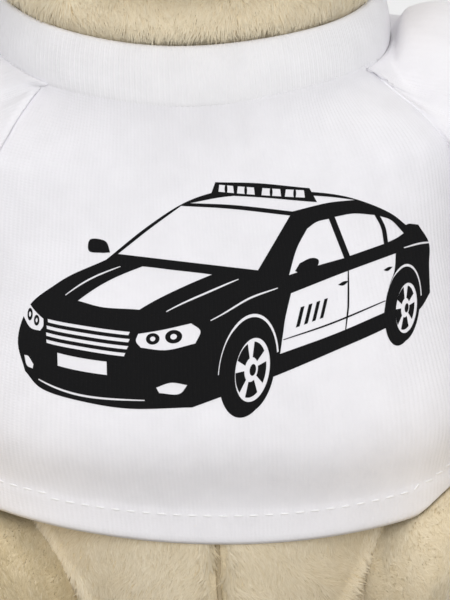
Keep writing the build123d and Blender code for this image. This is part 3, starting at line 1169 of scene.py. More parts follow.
@dataclass
class Arm:
    """A tapered arm that reaches forward out of its sleeve, with a velour palm."""

    side: Side
    shoulder: tuple = (48.5, -2, 105)
    forward: float = 22
    droop: float = 24
    root_radius: float = 16.0
    tip_radius: float = 13.4
    length: float = 44
    pad_radius: float = 9.0
    palm: tuple = (0.35, -0.75, -0.55)
    pile_from: tuple = (24, 26)  # where the pile starts inside the cuff
    pile: Pile = Pile(density=2.5)

    def __post_init__(self) -> None:
        """Finds the shoulder's centre, the axes along, across and over the arm, and the palm's place."""
        f, d = math.radians(self.forward), math.radians(self.droop)
        self.place = self.side.place(*self.shoulder)
        self.along = self.side.place(math.cos(f) * math.cos(d), -math.sin(f) * math.cos(d), -math.sin(d))
        self.across = unit(np.cross(self.along, UP))
        self.up = np.cross(self.across, self.along)
        self.paw = self.place + self.along * self.length
        self.look = unit(self.side.place(*self.palm))

    def skin(self) -> Surface:
        """Rings along the arm. The radius rises from the root's pole as a quarter circle, tapers in a
        straight line, swells a little at the paw and closes as a quarter circle."""
        root = -self.root_radius * np.cos(np.linspace(0, np.pi / 2, 16))[:-1]
        tip = self.length + self.tip_radius * np.sin(np.linspace(0, np.pi / 2, 26))[1:]
        t = np.concatenate([root, np.linspace(0, self.length, 40), tip])
        start = self.root_radius - 0.6
        radius = start + (self.tip_radius - self.root_radius + 0.6) * np.clip(t / self.length, 0, 1)
        radius = radius * quarter(-t, self.root_radius) * quarter(t - self.length, self.tip_radius)
        radius = radius * (1 - 0.045 * hill(t - 0.7 * self.length, 8) + 0.05 * hill(t - self.length, 9))
        line = self.place + t[:, None] * self.along
        skin = Surface(carried(line, self.across, self.up, radius, radius * 0.98, 96))
        return skin.pushed(0.4 * noise(skin.points, 11, 41))

    def shown(self, at: Array, normal: Array) -> Array:
        """Out of the sleeve, and clear of the palm."""
        off = at - self.paw
        aside = np.linalg.norm(np.cross(off, self.look), axis=-1)
        on_pad = (off @ self.look > 0) & (aside < self.pad_radius - 0.6)
        return step((at - self.place) @ self.along, *self.pile_from) * ~on_pad

    def build(self) -> None:
        """Makes the arm, its pile and the palm."""
        name, skin = f"arm_{self.side.word}", self.skin()
        skin.dress(f"{name}_backing", Backing(), name, name, 0.85)
        self.pile.grow(f"{name}_pile", name, skin, lying(self.along), 42, self.shown)
        self.pad().dress(f"palm_{self.side.word}", Velour(), name, f"paw_pad_{self.side.word}")
        LOG.info("%s arm: backing, pile, palm", self.side.word)

    def pad(self) -> Surface:
        """The palm: a cap of a slightly larger ball, with its edge turned under."""
        reach = math.asin(self.pad_radius / (self.tip_radius + 1))
        polar = np.concatenate([np.linspace(0.02, 1, 26) * reach, reach * np.linspace(1.03, 0.6, 10)])
        edge = [np.linspace(0.85, 0.3, 4), np.linspace(0.0, -1.2, 10)]
        rise = np.concatenate([np.linspace(1.1, 0.95, 22), *edge])
        first = unit(np.cross(self.look, UP))
        line, radius = self.look * np.cos(polar)[:, None], np.sin(polar)
        ball = carried(line, first, np.cross(self.look, first), radius, radius, 72)
        return Surface(self.paw + ball * (self.tip_radius + rise)[:, None, None])


@dataclass
class Leg:
    """A leg that lies forward on the floor, with an upright foot and a velour sole."""

    side: Side
    hip: tuple = (41.5, -10, 22.5)
    splay: float = 20
    stations: tuple = (0, 18, 37, 47, 57, 64, 68.2, 69.2)
    half_widths: tuple = (21.9, 20.7, 18.2, 18.7, 19.5, 18.9, 16.2, 0.5)
    half_heights: tuple = (21.9, 20.4, 18.2, 21.5, 24.5, 23.6, 20.3, 0.5)
    sole_half: tuple = (15.4, 19.6)
    pile: Pile = Pile(length=2.8, width=0.57, density=2.8, lift=0.45)
    fine_pile: Pile = replace(FINE_PILE, density=8.8)
    clearance: float = 0.5
    trunk_half: tuple = (36, 34)  # the oval inside the trunk that the pile keeps out of
    trunk_top: float = 60

    def __post_init__(self) -> None:
        """Finds the hip's centre, the ways along the leg and level across it, and the sole's height."""
        a = math.radians(self.splay)
        self.place = self.side.place(*self.hip)
        self.forward = self.side.place(math.sin(a), -math.cos(a), 0)
        self.across = self.side.place(math.cos(a), math.sin(a), 0)
        self.sole_height = self.half_heights[5] + self.clearance

    def skin(self) -> Surface:
        """Upright ovals along the leg. A quarter circle closes the thigh behind, the ovals' half heights are
        also their middles' heights, so the leg lies on the floor, and the front is flat."""
        thigh, thigh_height = self.half_widths[0], self.half_heights[0]
        back = -thigh * np.cos(np.linspace(0, np.pi / 2, 22))[:-1]
        share = quarter(-back, thigh)
        station, wide, high = eased(90, self.stations, self.half_widths, self.half_heights)
        middle = np.where(station > 66, high[np.argmin(abs(station - 64))], high)
        line = self.place + np.concatenate([back, station])[:, None] * self.forward
        line[:, 2] = np.concatenate([0 * back + thigh_height, middle]) + self.clearance
        wide, high = np.concatenate([thigh * share, wide]), np.concatenate([thigh_height * share, high])
        skin = Surface(carried(line, self.across, UP, wide, high, 120))
        skin = skin.pushed(0.45 * noise(skin.points, 13, 51) * step(skin.points[..., 2], 2, 8))
        skin.points[..., 2] = np.maximum(skin.points[..., 2], 0.25)
        return skin

    def shown(self, at: Array, normal: Array) -> Array:
        """All but the sole and most of what presses into the trunk."""
        off, (x, y, z) = at - self.place, split(at)
        flat = joined(off @ self.across, z - self.sole_height) / self.sole_half
        on_sole = (flat**2).sum(-1) < 0.93
        inside = ((joined(x, y) / self.trunk_half) ** 2).sum(-1) < 1
        inside &= z < self.trunk_top
        return ~(on_sole & (off @ self.forward > 60)) * ~inside * np.where(normal[..., 2] < -0.85, 0.3, 1)

    def inner(self, at: Array, normal: Array) -> Array:
        """The top and inner side of the thigh beside the belly."""
        off = at - self.place
        near = band(off @ self.forward, (-6, 0), (40, 44)) * step(at[..., 2], 12, 15)
        return near * (1 - step(off @ self.across, 13, 17)) * self.shown(at, normal)

    def rest(self, at: Array, normal: Array) -> Array:
        """What shows but for the inner thigh."""
        return self.shown(at, normal) * (1 - self.inner(at, normal))

    def crease_shade(self, at: Array) -> Array:
        """Painted shade down the side that faces the belly, where it meets it; deeper on the right leg."""
        return (0.16 * self.side.value - 0.42) * (1 - step((at - self.place) @ self.across, 2, 20))

    def build(self) -> None:
        """Makes the leg, its pile and the sole."""
        word = self.side.word
        name, skin, nap = f"leg_{word}", self.skin(), lying(self.forward * 0.8 - UP * 0.55)
        skin.dress(f"{name}_backing", Backing(), name, name, 0.9)
        self.pile.grow(f"{name}_pile", name, skin, nap, 52, self.rest)
        self.fine_pile.grow(f"thigh_{word}_pile", name, skin, nap, 53, self.inner, self.crease_shade)
        self.sole().dress(f"sole_{word}_velour", Velour(), name, f"sole_{word}")
        LOG.info("%s leg: backing, pile, sole", word)

    def sole(self) -> Surface:
        """The sole: a low padded oval whose height follows a flattened circle over its radius."""
        rim = 0.9 + 0.1 * np.sin(np.linspace(0.1, np.pi / 2, 10))
        share = np.concatenate([np.linspace(0.01, 0.9, 24), rim, np.linspace(0.995, 0.9, 5)])
        top = 1.2 * np.sqrt(1 - 0.55 * np.linspace(0, 1, 24) ** 2)
        rise = np.concatenate([top, np.linspace(0.74, 0.1, 10), np.linspace(-0.1, -1.6, 5)])
        line = self.place + self.forward * self.stations[-1]
        line = [*line[:2], self.sole_height] + self.forward * rise[:, None]
        wide, high = (share * half for half in self.sole_half)
        return Surface(carried(line, self.across, UP, wide, high, 96))


# ---- the shirt


@dataclass
class Collar:
    """A folded rib band round the neck, on a plane that dips to the front."""

    top: float = 129.5
    height: float = 10.2
    tilt: float = 10.6
    lean: float = -2.6
    dip: float = 1.0
    inner: float = 33.2
    wall: float = 1.7
    flare: float = 1.35
    rows: int = 24
    ribs: int = 226
    across: int = 4
    rib_depth: float = 0.03

    def plane(self, x: Array, y: Array) -> Array:
        """How far the band's planes rise above their height on the axis, with a bell's dip in front."""
        tilted = y * math.tan(math.radians(self.tilt)) + x * math.tan(math.radians(self.lean))
        return tilted - self.dip * hill(x, 20.0) * step(-y, 0, 20)

    def foot(self, turn: Array, radius: float) -> Array:
        """Height of the band's lower edge at an angle from the front and a distance from the axis."""
        low = self.top - self.height / math.cos(math.radians(self.tilt))
        return low + self.plane(radius * np.sin(turn), -radius * np.cos(turn))

    def skin(self) -> Surface:
        """A flat oval carried round the neck: across it the wall times a rounded cosine, up it half the
        height times a rounded sine. A cosine for each rib is added on the outside and over the fold."""
        part, turn = turns(self.rows)[:, None], turns(self.ribs * self.across)[None, :]
        up = 0.5 + 0.5 * power(np.sin(part), 0.75)
        out = 0.5 * self.wall * power(np.cos(part), 0.42)
        bulge = 0.55 * np.sin(np.pi * up) * (np.cos(part) > 0)
        rib = np.cos(turn * self.ribs) * self.rib_depth * step(np.cos(part) + 0.6 * (up > 0.9), -0.2, 0.3)
        radius = self.inner + 0.5 * self.wall + out + self.flare * (1 - up) + bulge + rib
        x, y = radius * np.sin(turn), -radius * np.cos(turn)
        wave = 0.35 * np.sin(3 * turn + 1.0) + 0.25 * np.sin(5 * turn)
        z = self.top - self.height * (1 - up) / math.cos(math.radians(self.tilt)) + self.plane(x, y)
        return Surface(joined(x, y, z + wave * 0.4), False, False, True)

    def build(self) -> None:
        """Makes the band."""
        # The band's knit is the shirt's made lighter: painted light, as on a band that faces up into the lamps.
        band_piece = self.skin().piece("neckband_rib", Jersey(self.ribs * 2, 28, (0.90, 0.892, 0.918)))
        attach(band_piece, "trunk")
        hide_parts("neckband")
        LOG.info("collar: ribbed band")


@dataclass
class Shirt:
    """The shirt's body, cut with raglan armholes, and its hem."""

    collar: Collar
    heights: tuple = (24, 38, 50, 64, 86, 104, 114, 129.5)
    half_widths: tuple = (49.0, 50.2, 50.6, 50.0, 47.8, 44.6, 40.5, 35.5)
    half_depths: tuple = (38.2, 42.0, 44.4, 43.9, 39.9, 36.6, 35.8, 35.5)
    neck: float = 36.0
    pull: float = 3.2
    hem_front: float = 32.8
    hem_side: float = 41.0
    hem_lean: float = -3.0
    hem_tuck: float = 3.1  # how far the belly turns in above the hem
    hem_band: float = 5.8
    hem_read: float = 60.0  # the height at which the hem reads the shirt's width
    hem_half: float = 48.0
    under_collar: float = 1.2  # how far the top edge goes up under the band
    thigh_radii: tuple = (22.7, 18.9)
    thigh_length: float = 40
    thigh_drop: float = 4.2
    wall: float = 0.9
    stitches: int = 116
    stitch_half: tuple = (0.85, 0.2, 0.1)
    columns: int = 340
    rows: int = 104

    def foot(self, turn: Array) -> Array:
        """Height of the collar's foot over the shirt, at angles from the front."""
        return self.collar.foot(turn, self.neck)

    def point(self, turn: Array, height: Array) -> Array:
        """A place on the shirt's outside.

        Args:
            turn: angle from the front towards the left side, in radians.
            height: height above the floor.

        Returns:
            The place, on a rounded ring with smoothly changing half sizes, squarest at the hem, and let out
            by two bells where the arms pull the cloth forward and back.
        """
        under = self.foot(turn) - height
        free = step(under, -1.5, 15)
        square = 2.0 + free * (0.45 + 1.3 * (1 - step(height, 38, 88)))
        halves = (through(height, self.heights, sizes) for sizes in (self.half_widths, self.half_depths))
        a, b = (self.neck + (half - self.neck) * free for half in halves)
        radius = (np.abs(np.sin(turn) / a) ** square + np.abs(np.cos(turn) / b) ** square) ** (-1 / square)
        aside = np.degrees(np.abs((turn + np.pi) % (2 * np.pi) - np.pi))
        pull = hill(aside - 62, 18) + 0.7 * hill(aside - 118, 18)
        radius = radius + self.pull * pull * band(under, (0.5, 8), (16, 46))
        return joined(radius * np.sin(turn), -radius * np.cos(turn), height)

    def edges(self, turn: Array) -> tuple[Array, Array]:
        """Heights of the hem and of the edge tucked under the collar, at angles from the front. The hem is
        lowest in front and behind, higher over the thighs, and a little lower on the bear's left."""
        x = self.point(turn, np.full(turn.shape, self.hem_read))[..., 0]
        share = np.clip(x / self.hem_half, -1.1, 1.1)
        hem = self.hem_front + (self.hem_side - self.hem_front) * share**2 + self.hem_lean * share
        return hem, self.foot(turn) + self.under_collar

    def skin(self) -> Surface:
        """A tube whose rows run from the hem's curve to the collar's foot, folded, held off the thighs."""
        turn = turns(self.columns)
        low, top = self.edges(turn)
        height = low + (top - low) * np.linspace(0, 1, self.rows)[:, None]
        skin = Surface(self.point(np.broadcast_to(turn, height.shape), height), False, False)
        p, rise = skin.points, height - low
        folds = 0.8 * noise(p * [1, 1, 0.55], 26, 61) + 0.25 * noise(p, 9, 62)
        calm = step(rise, 0, 12) * step(top - height, 0, 12)
        over = rise - self.hem_band
        tuck = -self.hem_tuck * np.where(over > 0, hill(over, 8.5), hill(over, 12.0))
        hem_fold = 0.22 * step(-over, -0.5, 0.4) - 0.5 * hill(rise, 0.5)
        p = skin.pushed(folds * (0.3 + 0.7 * calm) + hem_fold + tuck).points
        for leg in (Leg(side) for side in Side):
            knee = leg.place + leg.forward * self.thigh_length - UP * self.thigh_drop
            p = held_off(p, leg.place, knee, self.thigh_radii, 0.5)
        return skin.moved(p)

    def on_skin(self, skin: Surface, turn: Array, height: Array) -> tuple[Array, Array]:
        """Places on the finished cloth.

        Args:
            skin: the shirt's surface.
            turn: angles from the front, in radians.
            height: heights above the floor.

        Returns:
            The places and the outward normals.
        """
        low, top = self.edges(turn)
        row, column = (height - low) / (top - low), turn / (2 * np.pi)
        return skin.read(skin.points, row, column), unit(skin.read(skin.normals(), row, column))

    def build(self) -> None:
        """Makes the shirt's body, its stitched hem, the print and both sleeves."""
        skin = self.skin()
        sleeves = [Sleeve(side, self, skin) for side in Side]
        degrees = np.arange(self.columns) / self.columns * 360
        covered = [sleeve.covers(degrees, skin.points[:-1, :, 2]) for sleeve in sleeves]
        body = skin.piece("shirt_body", Jersey(), ~np.any(covered, axis=0))
        thicken(body, self.wall)
        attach(body, "trunk")
        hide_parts("shirt_front", "shirt_back")
        stitches = self.build_stitches(skin)
        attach(stitches, "trunk")
        ink = PatrolCar().build(self, skin)
        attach(ink, "trunk")
        for sleeve in sleeves:
            sleeve.build()
        LOG.info("shirt: body, hem stitches, print, sleeves")

    def build_stitches(self, skin: Surface) -> bpy.types.Object:
        """One row of short raised stitches above the hem, each a small egg along the cloth.

        Args:
            skin: the shirt's surface.

        Returns:
            The stitches, one piece.
        """
        p, n, columns = skin.points, skin.normals(), np.arange(self.columns)
        rise = np.cumsum(np.linalg.norm(np.diff(p, axis=0), axis=-1), axis=0)
        row = np.argmin(np.abs(rise - self.hem_band), axis=0) + 1
        line, out = p[row, columns], n[row, columns]
        length = np.concatenate([[0], np.cumsum(np.linalg.norm(np.roll(line, -1, 0) - line, axis=1))])
        at = (np.arange(self.stitches) + 0.5) / self.stitches * length[-1]
        where = np.interp(at, length, np.arange(self.columns + 1))
        i, f = where.astype(int) % self.columns, (where % 1)[:, None]
        j = (i + 1) % self.columns
        normal = unit(out[i] * (1 - f) + out[j] * f)
        centre = line[i] * (1 - f) + line[j] * f + 0.03 * normal
        shapes = beads(centre, unit(line[j] - line[i]), normal, self.stitch_half)
        return mesh_piece("hem_stitches", *shapes, Thread())


def beads(centre: Array, along: Array, normal: Array, half: tuple) -> tuple[Array, list[Array], Array]:
    """Many small eggs: each its centre plus half sizes times the sines and cosines of two angles.

    Args:
        centre: one place for each egg.
        along: the way each egg is longest.
        normal: the way each faces.
        half: half length, half width and half height.

    Returns:
        Their points, groups of faces and map.
    """
    polar, turn = np.meshgrid(np.linspace(0, np.pi, 7)[1:-1], turns(6), indexing="ij")
    ball = joined(np.cos(polar), np.sin(polar) * np.cos(turn), np.sin(polar) * np.sin(turn))
    ball = np.concatenate([[[1, 0, 0]], ball.reshape(-1, 3), [[-1, 0, 0]]]) * np.array(half)
    points = centre[:, None] + ball @ np.stack([along, np.cross(normal, along), normal], 1)
    k = np.arange(6)
    j, last = (k + 1) % 6, len(ball) - 1
    quads = np.concatenate([1 + r * 6 + np.stack([k, k + 6, j + 6, j], 1) for r in range(4)])
    fans = np.concatenate([np.stack([0 * k, 1 + k, 1 + j], 1), np.stack([0 * k + last, 25 + j, 25 + k], 1)])
    shift = (np.arange(len(centre)) * len(ball))[:, None, None]
    groups = [(quads + shift).reshape(-1, 4), (fans + shift).reshape(-1, 3)]
    flat = (0.5 + 0.5 * ball / half)[:, :2]
    uv = np.concatenate([flat[group % len(ball)].reshape(-1, 2) for group in groups])
    return points.reshape(-1, 3), groups, uv


def thicken(made: bpy.types.Object, wall: float) -> None:
    """Gives a sheet its wall on the inner side.

    Args:
        made: the sheet, an open mesh.
        wall: the cloth's thickness in millimetres.
    """
    solid = made.modifiers.new("wall", "SOLIDIFY")
    solid.thickness, solid.offset, solid.thickness_clamp, solid.use_rim = wall * MM, -1.0, 0.8, True
    with bpy.context.temp_override(object=made, active_object=made):
        bpy.ops.object.modifier_apply(modifier=solid.name)


def anticlockwise(outline: Array) -> Array:
    """A flat outline turned so that its inside lies to the left: its sum of cross products isn't negative."""
    x, y = outline.T
    return outline if (x * np.roll(y, -1) - y * np.roll(x, -1)).sum() >= 0 else outline[::-1]


ROUND = (0.0, 2 * math.pi)


class Tone(Enum):
    """What a shape of the print is painted in: black ink, or bare cloth that covers what is under it."""

    BLACK = 1
    BARE = 0


@dataclass(frozen=True)
class PatrolCar:
    """A plain patrol car in black ink on bare cloth, drawn from a solid of its own: X runs forward, Y to its
    left and Z up. The solid is in metres and the shapes' coordinates in centimetres."""

    azimuth: float = 57.0
    elevation: float = 10.5
    distance: float = 10.0
    eye_height: float = 0.7
    width: float = 73.0
    length: float = 3.74
    view_elevation: float = 10.0  # the drawing stays true when seen from here
    view_roll: float = 3.0
    place: tuple = (3.7, -41.0, 78.0)
    grain: float = 1.1  # spacing of the points that let the print follow the cloth
    rise: float = 0.06
    hub: float = 0.335  # height of the wheels' middles
    steps: int = 14
    damping: float = 0.9
    chest_radius: float = 42.0

    @property
    def scale(self) -> float:
        """Millimetres of print to one metre of car."""
        return self.width / self.length

    def see(self, points: Array) -> Array:
        """Perspective of places on the car: their sideways and upward shares over their distance."""
        p = points - [0, 0, self.eye_height]
        a, e = math.radians(90 - self.azimuth), math.radians(self.elevation)
        back = np.array([math.cos(a) * math.cos(e), math.sin(a) * math.cos(e), math.sin(e)])
        right = np.array([-math.sin(a), math.cos(a), 0])
        return np.stack([p @ right, p @ np.cross(back, right)], -1) / (1 - p @ back / self.distance)[:, None]

    @staticmethod
    def flank(x: Array, z: Array) -> Array:
        """The near side at a length and height: drawn in at both ends and over the belt."""
        ends = 0.16 * np.clip((np.abs(x + 0.05) - 1.55) / 0.75, 0, 1) ** 2
        return joined(x, 0.90 - ends - 0.42 * np.clip(z - 0.93, 0, 1) - 0.10 * np.clip(0.55 - z, 0, 1), z)

    @staticmethod
    def nose(y: Array, z: Array) -> Array:
        """The front at a width and height: it falls back to both sides and upwards."""
        return joined(2.30 - 0.30 * (y / 0.9) ** 2 - 0.22 * np.clip(z - 0.55, 0, 1), y, z)

    @staticmethod
    def lid(x: Array, y: Array) -> Array:
        """The bonnet: a crowned slope from the windscreen to the nose."""
        t = (x - 0.95) / 1.25
        return joined(x, y, 1.0 - 0.10 * t - 0.13 * t**3 - 0.05 * (y / 0.8) ** 2)

    @staticmethod
    def bar(y: Array, z: Array) -> Array:
        """The light bar's face at a width and height, bowed forward."""
        return joined(-0.12 - 0.05 * (y / 0.5) ** 2, y, z)

    def outline(self, places: Places, runs: Sequence, start: Optional[tuple] = None) -> Array:
        """A closed outline of smooth runs that meet in corners.

        Args:
            places: turns coordinates into a place on the car.
            runs: each run's points after the corner it starts from, the last one being the next corner. A
                single point stands for a straight edge to it.
            start: the first corner, or None where the last run ends in it.

        Returns:
            The outline as the camera sees it.
        """
        runs = [[run] if isinstance(run, tuple) else run for run in runs]
        corner, drawn = start or runs[-1][-1], []
        for run in runs:
            line = smoothed(np.array([corner, *run], float) / 100, 8 * len(run) + 1)[:-1]
            drawn.append(self.see(places(*line.T)))
            corner = run[-1]
        return np.concatenate(drawn)

    def stroke(self, places: Places, width: float, points: Sequence) -> Array:
        """A thin outline along a smooth line, so many millimetres of print wide and pointed at both ends."""
        p = self.see(places(*smoothed(np.array(points, float) / 100, 28).T))
        way = unit(np.gradient(p, axis=0))
        half = 0.5 * width / self.scale * np.sin(np.linspace(0.25, math.pi - 0.25, 28))[:, None] ** 0.5
        side = np.stack([-way[:, 1], way[:, 0]], -1) * half
        return np.concatenate([p + side, (p - side)[::-1]])

    def oval(self, places: Places, middle: tuple, half: tuple) -> Array:
        """A small oval: its middle plus half sizes times a cosine and a sine."""
        (u, v), (wide, high), a = np.array(middle) / 100, np.array(half) / 100, turns(28)
        return self.see(places(u + wide * np.cos(a), v + high * np.sin(a)))

    def wheel(self, x: float, y: float, radius: float, turn: tuple = ROUND, inner: float = 0.0) -> Array:
        """A disc, ring piece or wedge of a wheel: cosines and sines in an upright plane along the car.

        Args:
            x: the wheel's place along the car.
            y: the plane's distance from the car's middle.
            radius: the shape's outer radius.
            turn: its first and last angle.
            inner: its inner radius, or nought.

        Returns:
            The outline as the camera sees it.
        """
        x, y, radius, inner = (length / 100 for length in (x, y, radius, inner))
        span = turn[1] - turn[0]
        a = np.linspace(*turn, max(10, int(56 * span / (2 * math.pi))), endpoint=span < 6.28)
        edge = joined(x + radius * np.cos(a), y, self.hub + radius * np.sin(a))
        if inner > 0:
            a = a[::-1]
            edge = np.concatenate([edge, joined(x + inner * np.cos(a), y, self.hub + inner * np.sin(a))])
        return self.see(edge)

    def layers(self) -> list[tuple[Tone, Array]]:
        """All shapes in painting order: their tones and their outlines in metres of view."""
        free, flank, nose, lid, bar = joined, self.flank, self.nose, self.lid, self.bar
        out: list[tuple[Tone, Array]] = []

        def black(places: Places, *runs: "list | tuple", start: Optional[tuple] = None) -> None:
            """Adds a black outline."""
            out.append((Tone.BLACK, self.outline(places, runs, start)))

        def bare(places: Places, *runs: "list | tuple") -> None:
            """Adds an outline of bare cloth."""
            out.append((Tone.BARE, self.outline(places, runs)))

        def line(tone: Tone, places: Places, width: float, *points: tuple) -> None:
            """Adds a thin line."""
            out.append((tone, self.stroke(places, width, points)))

        def disc(tone: Tone, *sizes: object) -> None:
            """Adds a shape of a wheel."""
            out.append((tone, self.wheel(*sizes)))

        # far mirror and far wheel, then the whole outline
        mirror = [(93, -109, 102), (88, -112, 111), (80, -102, 110), (86, -90, 100)]
        black(free, mirror, start=(86, -99, 100))
        disc(Tone.BLACK, 138, -80, 33)
        black(
            free,
            [(226, 40, 17), (230, 0, 17), (224, -45, 18), (204, -82, 22)],
            [(203, -90, 45), (193, -88, 70), (162, -84, 86), (105, -79, 98.5)],
            [(62, -69, 122), (25, -60, 138.5), (-20, -58, 145.5), (-75, -55, 145.5), (-110, -20, 142.5),
             (-125, 35, 137.5), (-150, 66, 122), (-172, 72, 109)],
            [(-205, 62, 106), (-224, 62, 103)],
            [(-230, 72, 85), (-233, 72, 60), (-228, 76, 32)],
            [(-180, 86, 24), (-100, 87, 20), (0, 87, 19), (100, 87, 19), (175, 86, 20), (206, 84, 20)],
        )
        # windscreen, roof and side windows
        near, far = [(62, 64.5, 121.5), (28, 57.5, 137.5)], [(62, -63, 122.5), (100, -70, 103.5)]
        bare(free, [(107, 0, 104.5), (99, 71, 102.5)], near, [(33, 0, 140), (28, -56, 138.5)], far)
        near, far = [(-40, 56.5, 142), (-95, 54.5, 139.5)], [(-30, -48, 142), (20, -52, 140.5)]
        bare(free, [(26, 0, 142.5), (20, 55, 140)], near, [(-105, 20, 139.5), (-85, -30, 141)], far)
        bare(flank, [(30, 98.5), (-13, 98.5)], (-10, 132), [(12, 131.5), (30, 128)], [(56, 115), (80, 97.5)])
        bare(flank, [(-60, 100), (-93, 101)], [(-98, 116), (-94, 127)], [(-55, 132), (-21, 132.5)], (-24, 99))
        bare(flank, [(-122, 103), (-140, 105.5)], [(-124, 119), (-104, 125)], [(-107, 115), (-102, 101.5)])
        # white doors under a black belt, with handles
        back = [(-110, 74), (-99, 60), (-94, 45), (-93, 36)]
        bare(flank, [(90, 60), (80, 83)], [(0, 86.5), (-112, 90)], back, [(0, 34.5), (93, 36)])
        line(Tone.BLACK, flank, 0.32, (-17, 33.5), (-17.5, 60), (-16.5, 90))
        line(Tone.BLACK, flank, 0.30, (90, 47), (20, 45.5), (-93, 47.5))
        for x in (2, -86):
            black(flank, [(x - 10, 79), (x - 20, 78)], [(x - 10, 75.5), (x, 77.5)])
        # a plain chevron band instead of any badge or word
        for x in (72, 59, 46, 33):
            black(flank, (x - 6, 53.5), (x - 13.5, 69), (x - 7.5, 69), (x, 53.5))
        # bonnet
        left, right = [(155, 35), (198, 31)], [(155, -33), (112, -34)]
        bare(lid, [(115, 0), (112, 36)], left, [(203, 0), (198, -29)], right)
        line(Tone.BARE, lid, 0.34, (110, 60), (150, 58.5), (193, 52))
        line(Tone.BARE, lid, 0.30, (114, -56), (150, -55), (190, -49))
        # shoulder line, arches and wheels of five spokes
        line(Tone.BARE, flank, 0.34, (186, 80), (145, 88.5), (100, 90.5))
        line(Tone.BARE, flank, 0.34, (-130, 93), (-170, 92.5), (-212, 88))
        fifth = 2 * math.pi / 5
        for x in (138, -136):
            disc(Tone.BARE, x, 88.5, 42.5, (0.12, math.pi - 0.12), 40)
            disc(Tone.BLACK, x, 86, 37.5)
            disc(Tone.BLACK, x - 1, 90, 33.5)
            disc(Tone.BARE, x, 91.5, 24.5)
            for k in range(5):
                a = math.pi / 2 + k * fifth
                disc(Tone.BLACK, x, 90, 21.5, (a + 0.22, a + fifth - 0.22), 9.5)
            disc(Tone.BLACK, x, 91.5, 4.5)
        # lamps, grille, plate and bumper
        for s in (1, -1):
            top, low = [(s * 60, 74.5), (s * 80, 80)], [(s * 66, 61), (s * 49, 62)]
            bare(nose, top, [(s * 86, 75), (s * 84, 66)], low, [(s * 45, 66.5), (s * 46, 71.5)])
            for y, z, radius in ((56.5, 68.5, 4.0), (70, 70.5, 4.7)):
                out.append((Tone.BLACK, self.oval(nose, (s * y, z), (radius * 1.15, radius))))
                out.append((Tone.BARE, self.oval(nose, (s * y, z), (radius * 0.45, radius * 0.42))))
            bare(nose, [(s * 70, 37.5), (s * 80, 36)], [(s * 76, 30), (s * 62, 29.5)], (s * 60, 33.5))
        for z, half in ((72.5, 40), (67.5, 40.5), (62.5, 40), (57.5, 38.5)):
            low = [(0, z - 1.6), (1 - half, z - 2.4)]
            bare(nose, [(0, z + 0.8), (half, z)], (half - 1, z - 2.4), low, (-half, z))
        bare(nose, (24, 50), (24, 40), (-24, 40), (-24, 50))
        line(Tone.BARE, nose, 0.38, (-52, 23.5), (0, 21.5), (52, 23.5))
        # near mirror
        mirror = [(80, 106, 98.5), (83, 113, 103), (78, 114, 110), (70, 102, 111), (70, 92, 106)]
        black(free, mirror, (74, 90, 100))
        # light bar
        black(bar, (-50, 156.5), [(0, 158.5), (50, 156.5)], (57, 144.5), [(0, 146), (-56, 144.5)])
        for low, high in ((-46, -27), (-23.5, -3.5), (3.5, 23.5), (27, 46)):
            bare(bar, (low + 1, 154.5), (high - 1, 154.5), (high, 148), (low, 148))
            middle = 0.5 * (low + high)
            line(Tone.BLACK, bar, 0.5, (middle, 147.5), (middle, 155))
        return out

    def build(self, shirt: Shirt, skin: Surface) -> bpy.types.Object:
        """Cuts the shapes into triangles, keeps those whose last shape is black, and lays them on the cloth.

        Args:
            shirt: the shirt that carries the print.
            skin: its finished surface.

        Returns:
            The ink, one piece.
        """
        tones, outlines = zip(*((tone, anticlockwise(outline)) for tone, outline in self.layers()))
        drawn = np.concatenate(outlines)
        low, high = drawn.min(0), drawn.max(0)
        outlines = [(outline - 0.5 * (low + high)) * self.scale for outline in outlines]
        half = 0.5 * (high - low) * self.scale + self.grain
        x, y = np.meshgrid(*(np.arange(-h, h, self.grain) for h in half))
        starts = np.cumsum([0] + [len(outline) for outline in outlines])
        faces = [list(range(a, b)) for a, b in zip(starts, starts[1:])]
        points = np.concatenate([*outlines, joined(x.ravel(), y.ravel())])
        cut = delaunay_2d_cdt([Vector(p) for p in points], [], faces, 1, 1e-4)
        inked = [k for k, owners in enumerate(cut[5]) if owners and tones[max(owners)] is Tone.BLACK]
        used, triangles = np.unique(np.array([cut[2][k] for k in inked]), return_inverse=True)
        triangles = triangles.reshape(-1, 3)
        turn, height = self.lay(np.array([tuple(v) for v in cut[0]])[used], shirt, skin)
        at, normal = shirt.on_skin(skin, turn, height)
        a, b, c = (at[triangles[:, k]] for k in range(3))
        inward = (np.cross(b - a, c - a) * normal[triangles[:, 0]]).sum(-1) < 0
        triangles[inward] = triangles[inward][:, ::-1]
        low, top = shirt.edges(turn)
        uv = joined((turn / (2 * np.pi)) % 1, (height - low) / (top - low))[triangles]
        uv[..., 0] -= np.round(uv[..., 0] - uv[:, :1, 0])
        made = mesh_piece("patrol_car_print", at + self.rise * normal, [triangles], uv.reshape(-1, 2), Ink())
        made.data.normals_split_custom_set_from_vertices(normal)
        return made

